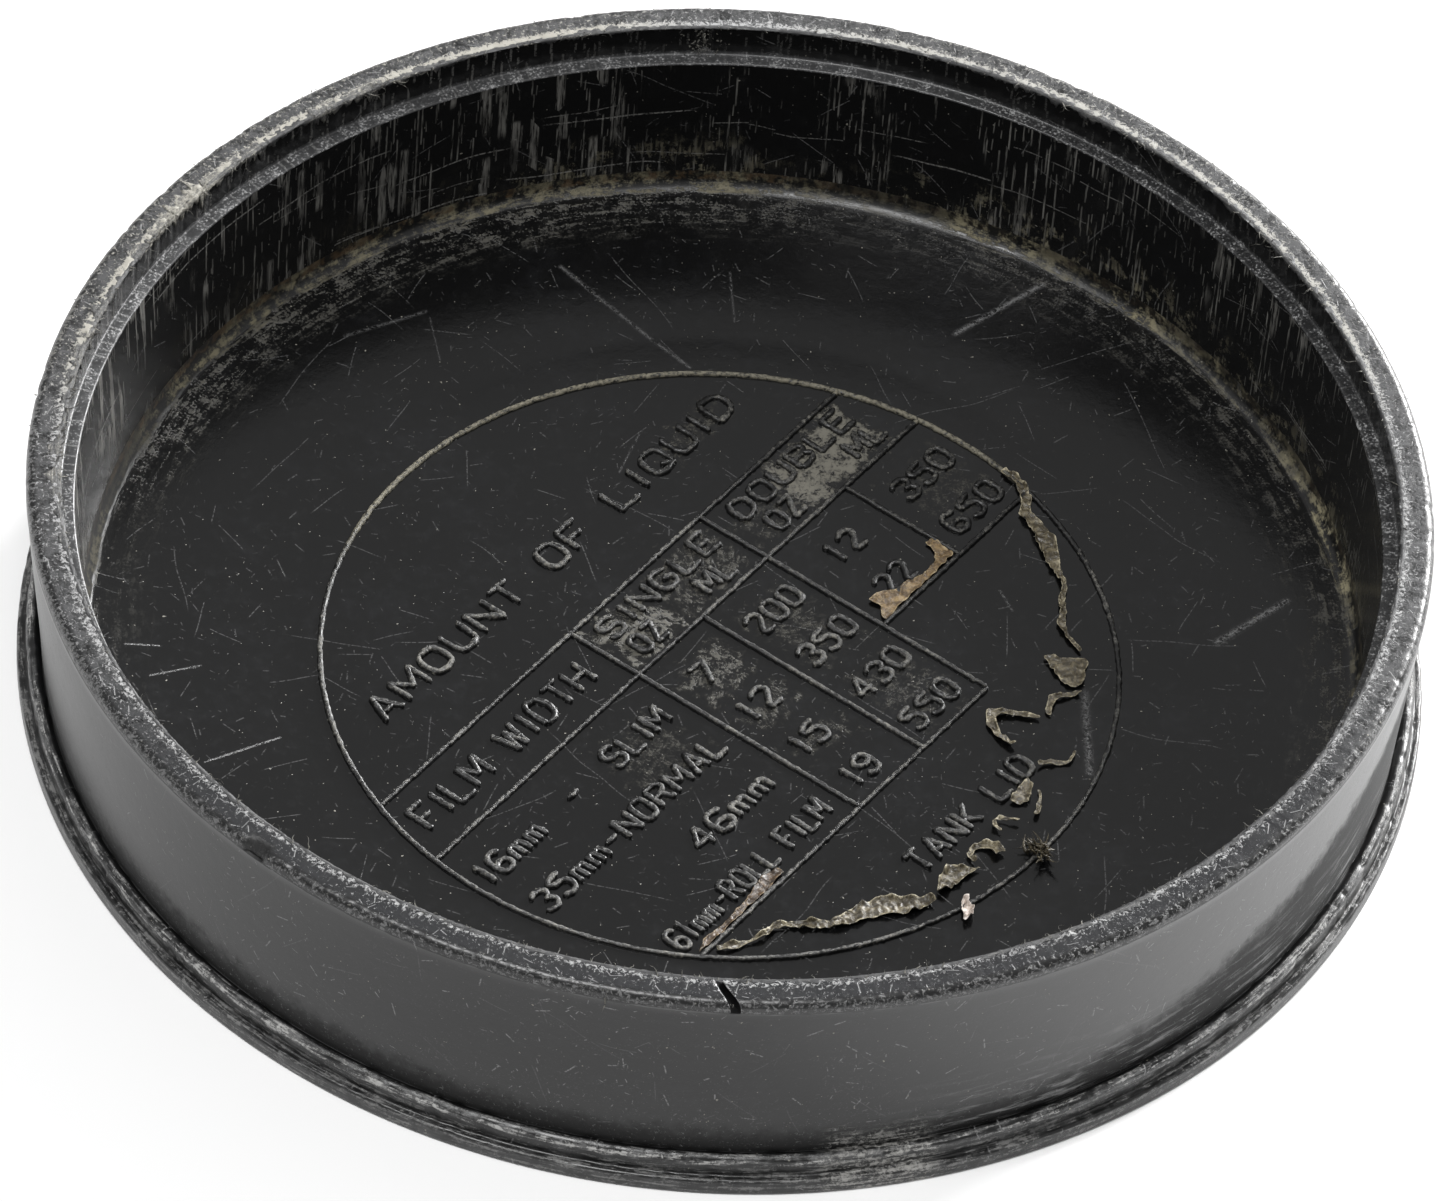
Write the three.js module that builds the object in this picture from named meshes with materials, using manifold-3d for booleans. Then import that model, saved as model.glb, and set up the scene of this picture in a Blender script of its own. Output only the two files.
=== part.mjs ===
// Push-on lid of a film developing tank, moulded in one piece and shown mouth up, the way it lies on a bench.
// Torn scraps of a thin film that once covered the fill table still cling to the inside of the lid.
// Millimetres, +Z up through the mouth, origin at the middle of the flat underside.
import * as THREE from "three";
import { mergeVertices } from "three/addons/utils/BufferGeometryUtils.js";
import Module from "manifold-3d";

// Driving dimensions of the lid
const LID_HEIGHT = 20.4;
const LIP_RADIUS = 57;
const LIP_HEIGHT = 1.5;
const LIP_CORNER = 0.25;
const BEAD_RADIUS = 56.3;
const BEAD_TOP = 3.3;
const BEAD_ROUND = 0.6;
const SKIRT_FOOT_RADIUS = 55.1;
const RIM_RADIUS = 56;
const RIM_ROUND = 0.75;
const MOUTH_RADIUS = 53.3;
const MOUTH_CORNER = 0.15;
const REBATE_DEPTH = 3.1;
const BORE_RADIUS = 52.1;
const BORE_DRAFT = 0.3;
const FLOOR_FILLET = 1.1;
const FLOOR_RISE = 1.2;
const PANEL_RADIUS = 35;
const PANEL_THICKNESS = 1.8;
const ROUND_STEPS = 120;

// The fill table: a raised ring with raised rules across it, turned on the floor of the lid
const TABLE_ANGLE = (56 * Math.PI) / 180;
const TABLE_SHIFT_Y = -1.6;
const RING_RADIUS = 32.4;
const RULE_WIDTH = 0.45;
const RULE_HEIGHT = 0.25;
const RULE_ROOT = 0.4;
const HEAD_RULE_Y = 11;
const ROW_RULE_Y = 4;
const DOUBLE_END_Y = -7.8;
const TABLE_END_Y = -18.4;
const LABEL_RULE_X = -5.6;
const SINGLE_SPLIT_X = 2.9;
const SINGLE_END_X = 11.6;
const DOUBLE_SPLIT_X = 22.1;

// The slanting slit through the front of the rim
const SLIT_WIDTH = 0.6;
const SLIT_DEPTH = 1;
const SLIT_LENGTH = 5;
const SLIT_X = 3;
const SLIT_TURN = (-53 * Math.PI) / 180;

// The film scraps lie just above the rules
const SCRAP_LIFT = 0.35;
const SCRAP_THICKNESS = 0.2;

const wasm = await Module();
wasm.setup();

// A closed geometry as a manifold solid: equal points merged, triangles without area dropped.
function solid(geometry) {
  const bare = geometry.clone();
  bare.deleteAttribute("normal");
  bare.deleteAttribute("uv");
  const merged = mergeVertices(bare, 1e-4);
  const corners = merged.index.array;
  const kept = [];
  for (let i = 0; i < corners.length; i += 3) {
    const [a, b, c] = [corners[i], corners[i + 1], corners[i + 2]];
    if (a !== b && b !== c && c !== a) {
      kept.push(a, b, c);
    }
  }
  const mesh = new wasm.Mesh({
    numProp: 3,
    vertProperties: new Float32Array(merged.attributes.position.array),
    triVerts: new Uint32Array(kept),
  });
  return new wasm.Manifold(mesh);
}

// A manifold solid as a three.js geometry with flat faces.
function geometryOf(body) {
  const mesh = body.getMesh();
  const geometry = new THREE.BufferGeometry();
  geometry.setAttribute("position", new THREE.BufferAttribute(new Float32Array(mesh.vertProperties), 3));
  geometry.setIndex(new THREE.BufferAttribute(new Uint32Array(mesh.triVerts), 1));
  const flat = geometry.toNonIndexed();
  flat.computeVertexNormals();
  return flat;
}

// Points of an arc in the radius-height plane, from one angle to another in degrees.
function arc(radius, height, round, from, to, steps) {
  const points = [];
  for (let i = 0; i <= steps; i++) {
    const angle = ((from + ((to - from) * i) / steps) * Math.PI) / 180;
    points.push(new THREE.Vector2(radius + round * Math.cos(angle), height + round * Math.sin(angle)));
  }
  return points;
}

// Revolves a profile of (radius, height) points about the Z axis.
function revolve(points) {
  return new THREE.LatheGeometry(points, ROUND_STEPS).rotateX(Math.PI / 2);
}

// The lid's section, from the middle of the underside out round the rim and back to the middle of the floor.
function lidProfile() {
  const at = (radius, height) => new THREE.Vector2(radius, height);
  const ledge = LID_HEIGHT - REBATE_DEPTH;
  const floorEdge = PANEL_THICKNESS + FLOOR_RISE;
  const wallEnd = BORE_RADIUS - BORE_DRAFT;
  return [
    at(0, 0),
    at(LIP_RADIUS - LIP_CORNER, 0),
    at(LIP_RADIUS, LIP_CORNER),
    at(LIP_RADIUS, LIP_HEIGHT - LIP_CORNER),
    at(LIP_RADIUS - LIP_CORNER, LIP_HEIGHT),
    at(BEAD_RADIUS, LIP_HEIGHT),
    ...arc(BEAD_RADIUS - BEAD_ROUND, BEAD_TOP - BEAD_ROUND, BEAD_ROUND, 0, 135, 6),
    at(SKIRT_FOOT_RADIUS, BEAD_TOP - BEAD_ROUND / 2),
    ...arc(RIM_RADIUS - RIM_ROUND, LID_HEIGHT - RIM_ROUND, RIM_ROUND, 0, 90, 4),
    at(MOUTH_RADIUS + MOUTH_CORNER, LID_HEIGHT),
    at(MOUTH_RADIUS, LID_HEIGHT - MOUTH_CORNER),
    at(MOUTH_RADIUS, ledge),
    at(BORE_RADIUS, ledge),
    ...arc(wallEnd - FLOOR_FILLET, floorEdge + FLOOR_FILLET, FLOOR_FILLET, 0, -86, 5),
    at(PANEL_RADIUS, PANEL_THICKNESS),
    at(0, PANEL_THICKNESS),
  ];
}

// Places a geometry made in the fill table's own axes onto the floor of the lid.
function ontoFloor(geometry, height) {
  return geometry.rotateZ(TABLE_ANGLE).translate(0, TABLE_SHIFT_Y, height);
}

// One straight raised rule between two points of the table, sunk a little into the floor.
function rule(fromX, fromY, toX, toY) {
  const length = Math.hypot(toX - fromX, toY - fromY);
  const bar = new THREE.BoxGeometry(length, RULE_WIDTH, RULE_HEIGHT + RULE_ROOT);
  bar.rotateZ(Math.atan2(toY - fromY, toX - fromX));
  bar.translate((fromX + toX) / 2, (fromY + toY) / 2, (RULE_HEIGHT - RULE_ROOT) / 2);
  return solid(ontoFloor(bar, PANEL_THICKNESS));
}

// How far the ring reaches to either side at a height of the table.
function halfChord(y) {
  return Math.sqrt(RING_RADIUS ** 2 - y ** 2);
}

function raisedRing() {
  const half = RULE_WIDTH / 2;
  const profile = [
    new THREE.Vector2(RING_RADIUS - half, -RULE_ROOT),
    new THREE.Vector2(RING_RADIUS + half, -RULE_ROOT),
    new THREE.Vector2(RING_RADIUS + half, RULE_HEIGHT),
    new THREE.Vector2(RING_RADIUS - half, RULE_HEIGHT),
    new THREE.Vector2(RING_RADIUS - half, -RULE_ROOT),
  ];
  return solid(ontoFloor(revolve(profile), PANEL_THICKNESS));
}

function fillTable() {
  return [
    raisedRing(),
    rule(-halfChord(HEAD_RULE_Y), HEAD_RULE_Y, halfChord(HEAD_RULE_Y), HEAD_RULE_Y),
    rule(-halfChord(ROW_RULE_Y), ROW_RULE_Y, halfChord(ROW_RULE_Y), ROW_RULE_Y),
    rule(SINGLE_END_X, DOUBLE_END_Y, halfChord(DOUBLE_END_Y), DOUBLE_END_Y),
    rule(-halfChord(TABLE_END_Y), TABLE_END_Y, SINGLE_END_X, TABLE_END_Y),
    rule(LABEL_RULE_X, HEAD_RULE_Y, LABEL_RULE_X, TABLE_END_Y),
    rule(SINGLE_SPLIT_X, ROW_RULE_Y, SINGLE_SPLIT_X, TABLE_END_Y),
    rule(SINGLE_END_X, HEAD_RULE_Y, SINGLE_END_X, TABLE_END_Y),
    rule(DOUBLE_SPLIT_X, ROW_RULE_Y, DOUBLE_SPLIT_X, DOUBLE_END_Y),
  ];
}

function rimSlit() {
  const cut = new THREE.BoxGeometry(SLIT_LENGTH, SLIT_WIDTH, 2 * SLIT_DEPTH);
  cut.rotateZ(SLIT_TURN).translate(SLIT_X, -(MOUTH_RADIUS + RIM_RADIUS) / 2, LID_HEIGHT);
  return solid(cut);
}

function lid() {
  let body = solid(revolve(lidProfile()));
  for (const raised of fillTable()) {
    body = body.add(raised);
  }
  return geometryOf(body.subtract(rimSlit()));
}

// A flat torn scrap from its outline in the table's axes.
function scrap(outline) {
  const shape = new THREE.Shape(outline.map(([x, y]) => new THREE.Vector2(x, y)));
  const slab = new THREE.ExtrudeGeometry(shape, { depth: SCRAP_THICKNESS, bevelEnabled: false });
  return ontoFloor(slab, PANEL_THICKNESS + SCRAP_LIFT);
}

// A torn ribbon: its width changes from point to point of its route, as [x, y, width].
function ribbon(route) {
  const left = [];
  const right = [];
  route.forEach(([x, y, width], i) => {
    const before = route[Math.max(i - 1, 0)];
    const after = route[Math.min(i + 1, route.length - 1)];
    const along = new THREE.Vector2(after[0] - before[0], after[1] - before[1]).normalize();
    left.push([x - (along.y * width) / 2, y + (along.x * width) / 2]);
    right.unshift([x + (along.y * width) / 2, y - (along.x * width) / 2]);
  });
  return scrap([...left, ...right]);
}

// The torn scraps, each with its outline or route in the table's axes, in millimetres from the ring's middle
const scraps = {
  scrap_cell_edge: scrap([
    [12.1, -7.7],
    [14.5, -7.5],
    [18.5, -7.6],
    [21.8, -7.3],
    [22, -5.1],
    [21.2, -4.8],
    [20.9, -6.2],
    [20, -6.8],
    [18.2, -6.9],
    [16.8, -6.4],
    [15.2, -6.2],
    [14.4, -5.3],
    [13, -5.2],
    [13.1, -6.4],
    [12.3, -7.2],
  ]),
  scrap_right_ribbon: ribbon([
    [32, -4.8, 0.6],
    [31.7, -6.8, 0.7],
    [30.6, -8.3, 0.8],
    [29.2, -9.2, 1],
    [28.7, -10.6, 1.2],
    [27.6, -12.7, 1.6],
    [26.7, -13.7, 1.3],
    [25.7, -15, 0.6],
    [24.8, -16.5, 0.35],
    [23.2, -17.3, 0.55],
    [22, -18.4, 0.5],
    [21.1, -18.8, 0.8],
    [20.5, -19.7, 0.35],
    [20.1, -20.6, 0.25],
    [19.7, -21.9, 0.3],
  ]),
  scrap_right_patch: scrap([
    [17.3, -19.8],
    [17.8, -20.6],
    [18.6, -21.8],
    [19.3, -22.6],
    [18.9, -23.2],
    [18, -23.5],
    [17.4, -24],
    [16.6, -24.1],
    [15.9, -23.6],
    [15.9, -22.8],
    [16.2, -22],
    [16.7, -20.9],
  ]),
  scrap_right_tail: ribbon([
    [12.3, -24.1, 0.3],
    [12.9, -23.6, 0.5],
    [13.9, -23.2, 0.7],
    [14.6, -23.6, 0.4],
    [15.3, -24.2, 0.4],
    [16.1, -24.5, 0.25],
  ]),
  scrap_chevron: ribbon([
    [7.7, -23.9, 0.4],
    [7.9, -22.2, 0.7],
    [8.5, -21, 0.8],
    [9.4, -20.4, 1],
    [10.2, -21.2, 0.7],
    [10.9, -22.3, 0.5],
    [11.6, -23.7, 0.35],
  ]),
  scrap_brown_strip: scrap([
    [-26.4, -18.1],
    [-25.2, -17.6],
    [-22.5, -17.7],
    [-20, -17.6],
    [-17.8, -17.2],
    [-16.5, -17],
    [-15.1, -17.4],
    [-15.2, -18],
    [-17.5, -18.2],
    [-20, -18.1],
    [-23, -18.2],
  ]),
  scrap_lower_ribbon: ribbon([
    [-25.2, -18.9, 0.5],
    [-24, -19.9, 0.6],
    [-22.8, -20.5, 0.3],
    [-21.5, -21, 0.4],
    [-20.4, -20.9, 0.5],
    [-19.6, -21.6, 0.5],
    [-18.5, -22.9, 0.7],
    [-17.3, -24.3, 0.8],
    [-16, -25, 1.2],
    [-14.6, -25.4, 1.6],
    [-13.2, -26.2, 1.9],
    [-12.1, -27.3, 1.8],
    [-11, -28.3, 1.3],
    [-9.8, -28.9, 0.9],
  ]),
  scrap_lower_patch: scrap([
    [-9.2, -28.7],
    [-8, -28.1],
    [-6.9, -27.9],
    [-6, -27.7],
    [-5.9, -28.4],
    [-5, -29.4],
    [-4.6, -29.9],
    [-6, -29.5],
    [-7.6, -29.4],
    [-8.4, -29.2],
  ]),
  scrap_arch: ribbon([
    [-4.5, -29.1, 0.3],
    [-4.3, -28.4, 0.4],
    [-3.6, -28.1, 0.4],
    [-2.7, -28.3, 0.5],
    [-2.2, -29.2, 0.9],
    [-2.5, -30.1, 1],
  ]),
  scrap_curl: ribbon([
    [-0.5, -28.7, 0.3],
    [-0.4, -28, 0.35],
    [0.1, -27.6, 0.3],
    [0.7, -27.9, 0.35],
    [0.9, -28.6, 0.25],
    [1.4, -29.2, 0.2],
  ]),
  scrap_word_patch: scrap([
    [2.7, -27.2],
    [3.6, -27],
    [5, -26.9],
    [5.6, -27],
    [5, -27.9],
    [4.2, -28.1],
    [3.4, -28.5],
    [2.8, -28],
  ]),
  scrap_word_tail: ribbon([
    [7.2, -26.7, 0.3],
    [8, -27, 0.5],
    [8.6, -27.8, 0.5],
    [9.2, -28.4, 0.3],
    [10.5, -28, 0.2],
  ]),
  scrap_thread: ribbon([
    [2.7, -29.8, 0.25],
    [3.7, -29.4, 0.3],
    [4.6, -28.9, 0.3],
    [5.1, -28.3, 0.2],
  ]),
  scrap_fleck: scrap([
    [-10.4, -32.4],
    [-9.6, -31.7],
    [-8.9, -31],
    [-8.2, -30.6],
    [-7.6, -30.9],
    [-8.4, -31.3],
    [-8.5, -32],
    [-9.3, -32.4],
  ]),
  scrap_tuft: scrap([
    [-2.4, -32.6],
    [-1.6, -32.1],
    [-0.9, -31.8],
    [0.2, -31.6],
    [0.4, -32],
    [1.6, -32.3],
    [1, -32.6],
    [0.7, -33],
    [-0.1, -32.8],
    [-0.9, -33.5],
    [-1.3, -33.1],
    [-2, -33.2],
  ]),
};

const blackPlastic = { color: 0x26262a, roughness: 0.5, metalness: 0 };
const driedFilm = { color: 0xb8ab84, roughness: 0.45, metalness: 0 };
const brownFilm = { color: 0x6e5334, roughness: 0.6, metalness: 0 };

function part(name, geometry, look) {
  const mesh = new THREE.Mesh(geometry, new THREE.MeshStandardMaterial(look));
  mesh.name = name;
  return mesh;
}

const model = new THREE.Group();
model.name = "developing_tank_lid";
model.add(part("lid", lid(), blackPlastic));
for (const [name, geometry] of Object.entries(scraps)) {
  model.add(part(name, geometry, name === "scrap_brown_strip" ? brownFilm : driedFilm));
}

export default model;
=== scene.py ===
import math

import bmesh
import bpy
import numpy as np
from mathutils import Matrix, Vector, noise


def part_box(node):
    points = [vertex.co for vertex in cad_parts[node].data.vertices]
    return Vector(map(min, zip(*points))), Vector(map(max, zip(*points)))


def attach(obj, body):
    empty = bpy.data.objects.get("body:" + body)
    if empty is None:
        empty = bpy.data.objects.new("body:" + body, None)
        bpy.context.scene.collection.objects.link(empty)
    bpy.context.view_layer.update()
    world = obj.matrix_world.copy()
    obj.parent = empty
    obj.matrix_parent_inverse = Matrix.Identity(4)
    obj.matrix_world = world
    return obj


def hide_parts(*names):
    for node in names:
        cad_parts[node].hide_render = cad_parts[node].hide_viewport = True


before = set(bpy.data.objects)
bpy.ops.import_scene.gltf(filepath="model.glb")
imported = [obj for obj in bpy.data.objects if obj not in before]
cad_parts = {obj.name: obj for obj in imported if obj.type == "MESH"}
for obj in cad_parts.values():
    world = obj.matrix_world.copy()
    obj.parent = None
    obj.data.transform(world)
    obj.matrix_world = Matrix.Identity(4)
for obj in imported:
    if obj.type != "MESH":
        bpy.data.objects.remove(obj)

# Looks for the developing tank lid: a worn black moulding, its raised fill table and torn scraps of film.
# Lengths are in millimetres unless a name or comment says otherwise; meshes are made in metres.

# Blender's own noise starts from the clock unless it is given a seed
noise.seed_set(5)

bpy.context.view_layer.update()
MM = 0.001
TAU = 2 * math.pi

# The lid's section, the same as the CAD part's
LID_HEIGHT = 20.4
LIP_RADIUS = 57.0
LIP_HEIGHT = 1.5
LIP_CORNER = 0.25
BEAD_RADIUS = 56.3
BEAD_TOP = 3.3
BEAD_ROUND = 0.6
BEAD_ROOT = 0.12
FOOT_RADIUS = 55.1
SKIRT_TOP_RADIUS = 55.95
SEAM_DROP = 1.1
RIM_RADIUS = 56.0
RIM_ROUND = 0.75
MOUTH_RADIUS = 53.3
MOUTH_ROUND = 0.2
REBATE_DEPTH = 3.1
BORE_RADIUS = 52.1
BORE_DRAFT = 0.3
LEDGE_ROUND = 0.15
FLOOR_FILLET = 1.1
FLOOR_RISE = 1.2
PANEL_RADIUS = 35.0
FLOOR = 1.8
LEDGE = LID_HEIGHT - REBATE_DEPTH
ROUND_STEPS = 1440

# The fill table
TABLE_ANGLE = math.radians(56)
TABLE_SHIFT_Y = -1.6
RING_RADIUS = 32.4
RULE_WIDTH = 0.45
RULE_HEIGHT = 0.3
HEAD_RULE_Y = 11.0
ROW_RULE_Y = 4.0
DOUBLE_END_Y = -7.8
TABLE_END_Y = -18.4
LABEL_RULE_X = -5.6
SINGLE_SPLIT_X = 2.9
SINGLE_END_X = 11.6
DOUBLE_SPLIT_X = 22.1

# The slanting slit in the front of the rim
SLIT_WIDTH = 0.6
SLIT_DEPTH = 1.0
SLIT_LENGTH = 5.0
SLIT_X = 3.0
SLIT_TURN = math.radians(-53)


# ---------------------------------------------------------------- camera, light and floor

# The lights' places and sizes are in metres and their powers in watts
KEY_LIGHT = ("key_light", (0.68, 0.88, 0.43), (0.6, 0.35), 40.0)
FILL_LIGHT = ("fill_light", (-0.22, -0.26, 1.15), (0.5, 0.4), 10.5)
SURROUND_STRENGTH = 0.42
FLOOR_WHITE = (0.93, 0.93, 0.93, 1)
CAMERA_DISTANCE = 1000.0
CAMERA_ELEVATION = math.radians(46.5)
CAMERA_ROLL = math.radians(4.68)
CAMERA_ASIDE = -0.2
CAMERA_ALOFT = 4.92
SENSOR_WIDTH = 36.0
LENS = 307.0


def put_in_scene(name, data):
    """A new object for a mesh, a light or a camera."""
    thing = bpy.data.objects.new(name, data)
    bpy.context.collection.objects.link(thing)
    return thing


def make_camera():
    """A long lens from in front and above, turned a little, as the photograph was taken."""
    level = Vector((1, 0, 0))
    ahead = Vector((0, math.cos(CAMERA_ELEVATION), -math.sin(CAMERA_ELEVATION)))
    above = level.cross(ahead)
    right = math.cos(CAMERA_ROLL) * level + math.sin(CAMERA_ROLL) * above
    up = math.cos(CAMERA_ROLL) * above - math.sin(CAMERA_ROLL) * level
    place = CAMERA_ASIDE * level + CAMERA_ALOFT * above - CAMERA_DISTANCE * ahead
    data = bpy.data.cameras.new("camera")
    data.sensor_width = SENSOR_WIDTH
    data.lens = LENS
    data.clip_start = 0.01
    data.clip_end = 10
    camera = put_in_scene("camera", data)
    turn = Matrix((right, up, -ahead)).transposed().to_4x4()
    camera.matrix_world = Matrix.Translation(place * MM) @ turn
    bpy.context.scene.camera = camera


def area_light(name, place, size, power):
    """A rectangular light turned towards the lid."""
    data = bpy.data.lights.new(name, "AREA")
    data.shape = "RECTANGLE"
    data.size, data.size_y = size
    data.energy = power
    lamp = put_in_scene(name, data)
    lamp.location = place
    lamp.rotation_euler = (-Vector(place)).to_track_quat("-Z", "Y").to_euler()


def make_light():
    """A white table lit from low at the right back and softly from above, in a dimmer white surround."""
    world = bpy.data.worlds.new("white_surround")
    world.use_nodes = True
    ground = world.node_tree.nodes["Background"]
    ground.inputs["Color"].default_value = (1, 1, 1, 1)
    ground.inputs["Strength"].default_value = SURROUND_STRENGTH
    bpy.context.scene.world = world
    area_light(*KEY_LIGHT)
    area_light(*FILL_LIGHT)
    bpy.context.scene.view_settings.view_transform = "Standard"


def make_floor():
    """The white table that the lid lies on."""
    bpy.ops.mesh.primitive_plane_add(size=6, location=(0, 0, 0))
    floor = bpy.context.object
    floor.name = "white_floor"
    paint = bpy.data.materials.new("floor_white")
    paint.use_nodes = True
    shader = paint.node_tree.nodes["Principled BSDF"]
    shader.inputs["Base Color"].default_value = FLOOR_WHITE
    shader.inputs["Roughness"].default_value = 0.9
    floor.data.materials.append(paint)


# ---------------------------------------------------------------- small tools


def smooth(value, low, high):
    """0 below low, 1 above high and a smooth step between, for numbers or arrays."""
    t = np.clip((value - low) / (high - low), 0, 1)
    return t * t * (3 - 2 * t)


def apart(angle, middle):
    """How far angles are from a middle one, the short way round."""
    return np.abs((angle - middle + math.pi) % TAU - math.pi)


def ring_noise(angle, waves, seed):
    """Even noise round a circle, about -1 to 1, whose finest waves go round that many times."""
    random = np.random.default_rng(seed)
    total = np.zeros_like(angle)
    counts = np.unique(np.geomspace(max(2, waves / 12), waves, 14).astype(int))
    for count in counts:
        total += np.cos(count * angle + random.uniform(0, TAU))
    return total / math.sqrt(len(counts))


def make_piece(name, points, faces, material, stands_for=()):
    """A mesh piece of the object, from points in millimetres, that rides with the lid."""
    mesh = bpy.data.meshes.new(name)
    mesh.from_pydata((np.asarray(points) * MM).tolist(), [], faces)
    mesh.validate()
    mesh.polygons.foreach_set("use_smooth", [True] * len(mesh.polygons))
    piece = put_in_scene(name, mesh)
    mesh.materials.append(material)
    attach(piece, "root")
    if stands_for:
        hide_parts(*stands_for)
    return piece


def apply_modifiers(piece):
    """Replaces a piece's mesh with what its modifiers make of it."""
    state = bpy.context.evaluated_depsgraph_get()
    result = bpy.data.meshes.new_from_object(piece.evaluated_get(state))
    piece.modifiers.clear()
    piece.data = result


def ring_faces(rings, steps, closed=False):
    """Faces between each ring of points and the next one, and from the last to the first if closed."""
    near = np.arange(steps)
    after = (near + 1) % steps
    faces = []
    for k in range(rings if closed else rings - 1):
        first, second = k * steps, (k + 1) % rings * steps
        quads = np.stack([first + near, first + after, second + after, second + near], -1)
        faces.extend(map(tuple, quads.tolist()))
    return faces


def point_values(mesh, name, values):
    """Gives each point of a mesh a number that its material reads by name."""
    mesh.attributes.new(name, "FLOAT", "POINT").data.foreach_set("value", values.astype(np.float32))


def onto_floor(x, y):
    """Places a point of the table's own axes on the floor of the lid."""
    cos, sin = math.cos(TABLE_ANGLE), math.sin(TABLE_ANGLE)
    return x * cos - y * sin, x * sin + y * cos + TABLE_SHIFT_Y


# ---------------------------------------------------------------- the moulding


def arc(radius, height, size, start, end, steps):
    """Points of an arc of the section, from one angle in degrees to another."""
    angles = np.radians(np.linspace(start, end, steps + 1))
    return [(radius + size * math.cos(a), height + size * math.sin(a)) for a in angles]


def line(start, end, steps):
    """Points of a straight stretch of the section, without its end."""
    share = np.linspace(0, 1, steps, endpoint=False)
    return [tuple(np.add(start, t * np.subtract(end, start))) for t in share]


def lid_section():
    """The whole section as a list of bands, each with its points from the underside round to the floor."""
    floor_edge = FLOOR + FLOOR_RISE
    wall_end = BORE_RADIUS - BORE_DRAFT
    lip_middle = LIP_RADIUS - LIP_CORNER
    lip_shoulder = LIP_HEIGHT - LIP_CORNER
    bead_middle = BEAD_RADIUS - BEAD_ROUND
    bead_foot = arc(BEAD_RADIUS + BEAD_ROOT, LIP_HEIGHT + BEAD_ROOT, BEAD_ROOT, 270, 180, 3)
    seam = LID_HEIGHT - SEAM_DROP
    mouth_middle = MOUTH_RADIUS + MOUTH_ROUND
    root_middle = MOUTH_RADIUS - LEDGE_ROUND
    bore_corner = BORE_RADIUS + LEDGE_ROUND
    floor_run = line((PANEL_RADIUS - 2, FLOOR), (1, FLOOR), 8)
    return [
        ("under", [(0, 0), *line((8, 0), (56.6, 0), 6), *arc(lip_middle, LIP_CORNER, LIP_CORNER, -90, 0, 4)]),
        ("lip", [
            *line((LIP_RADIUS, 0.3), (LIP_RADIUS, lip_shoulder), 5),
            *arc(lip_middle, lip_shoulder, LIP_CORNER, 0, 90, 5),
            (56.55, 1.49),
        ]),
        ("bead", [*bead_foot, *line((BEAD_RADIUS, 1.8), (BEAD_RADIUS, 2.7), 5)]),
        ("crest", [*arc(bead_middle, BEAD_TOP - BEAD_ROUND, BEAD_ROUND, 0, 160, 14)]),
        ("skirt", [*line((FOOT_RADIUS, 3.0), (SKIRT_TOP_RADIUS, seam - 0.12), 26), (55.965, seam - 0.1)]),
        ("seam", [(55.99, seam - 0.03), (55.99, seam + 0.03), (55.965, seam + 0.1)]),
        ("shoulder", arc(RIM_RADIUS - RIM_ROUND, LID_HEIGHT - RIM_ROUND, RIM_ROUND, 0, 88, 9)),
        ("rim", line((55.15, LID_HEIGHT), (53.55, LID_HEIGHT), 9)),
        ("mouth", arc(mouth_middle, LID_HEIGHT - MOUTH_ROUND, MOUTH_ROUND, 90, 180, 5)),
        ("rebate", line((MOUTH_RADIUS, LID_HEIGHT - 0.35), (MOUTH_RADIUS, LEDGE + 0.2), 12)),
        ("root", arc(root_middle, LEDGE + LEDGE_ROUND, LEDGE_ROUND, 0, -90, 3)),
        ("ledge", line((53.0, LEDGE), (52.35, LEDGE), 4)),
        ("corner", arc(bore_corner, LEDGE - LEDGE_ROUND, LEDGE_ROUND, 90, 180, 4)),
        ("wall", line((BORE_RADIUS, LEDGE - 0.25), (wall_end, floor_edge + FLOOR_FILLET + 0.1), 24)),
        ("fillet", arc(wall_end - FLOOR_FILLET, floor_edge + FLOOR_FILLET, FLOOR_FILLET, 0, -84, 12)),
        ("apron", line((50.3, floor_edge - 0.03), (PANEL_RADIUS + 1, FLOOR + 0.07), 12)),
        ("floor", [(35.5, FLOOR + 0.035), (PANEL_RADIUS, FLOOR + 0.01), (34.3, FLOOR), *floor_run]),
    ]


# How far the soft rim has gone out of round, by angle in degrees from +X
RIM_SET = {
    0: 0.35, 40: 0.0, 85: -0.4, 115: -0.55, 145: 0.1, 175: 0.85, 205: 0.2, 235: -0.85, 275: -0.75, 320: -0.15,
}


def rim_set(angle):
    """How far the rim has moved outward at each angle, smoothed between the keys of RIM_SET."""
    degrees = np.degrees(angle) % 360
    keys = np.array(sorted(RIM_SET))
    sums = np.zeros_like(degrees)
    for shift in range(-18, 19, 6):
        sums += np.interp(degrees + shift, keys, [RIM_SET[k] for k in keys], period=360)
    return sums / 7


# Where the rim's inner edge is torn worst: middle and half width in degrees, and strength
TORN_ZONES = [
    (128, 14, 1.2), (150, 16, 1.7), (106, 10, 0.8), (82, 10, 0.5), (50, 32, 0.55), (178, 22, 0.9),
    (12, 20, 0.4), (250, 40, 0.3), (310, 30, 0.45),
]


def torn(angle):
    """How badly the rim's inner edge is torn at each angle."""
    degrees = np.degrees(angle) % 360
    total = np.full_like(degrees, 0.12)
    for middle, half, strength in TORN_ZONES:
        away = np.abs((degrees - middle + 180) % 360 - 180)
        total = np.maximum(total, strength * smooth(half - away, 0, 14))
    return total


SCAR_ANGLE = math.radians(96)
GOUGE_ANGLE = math.radians(231)


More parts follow.
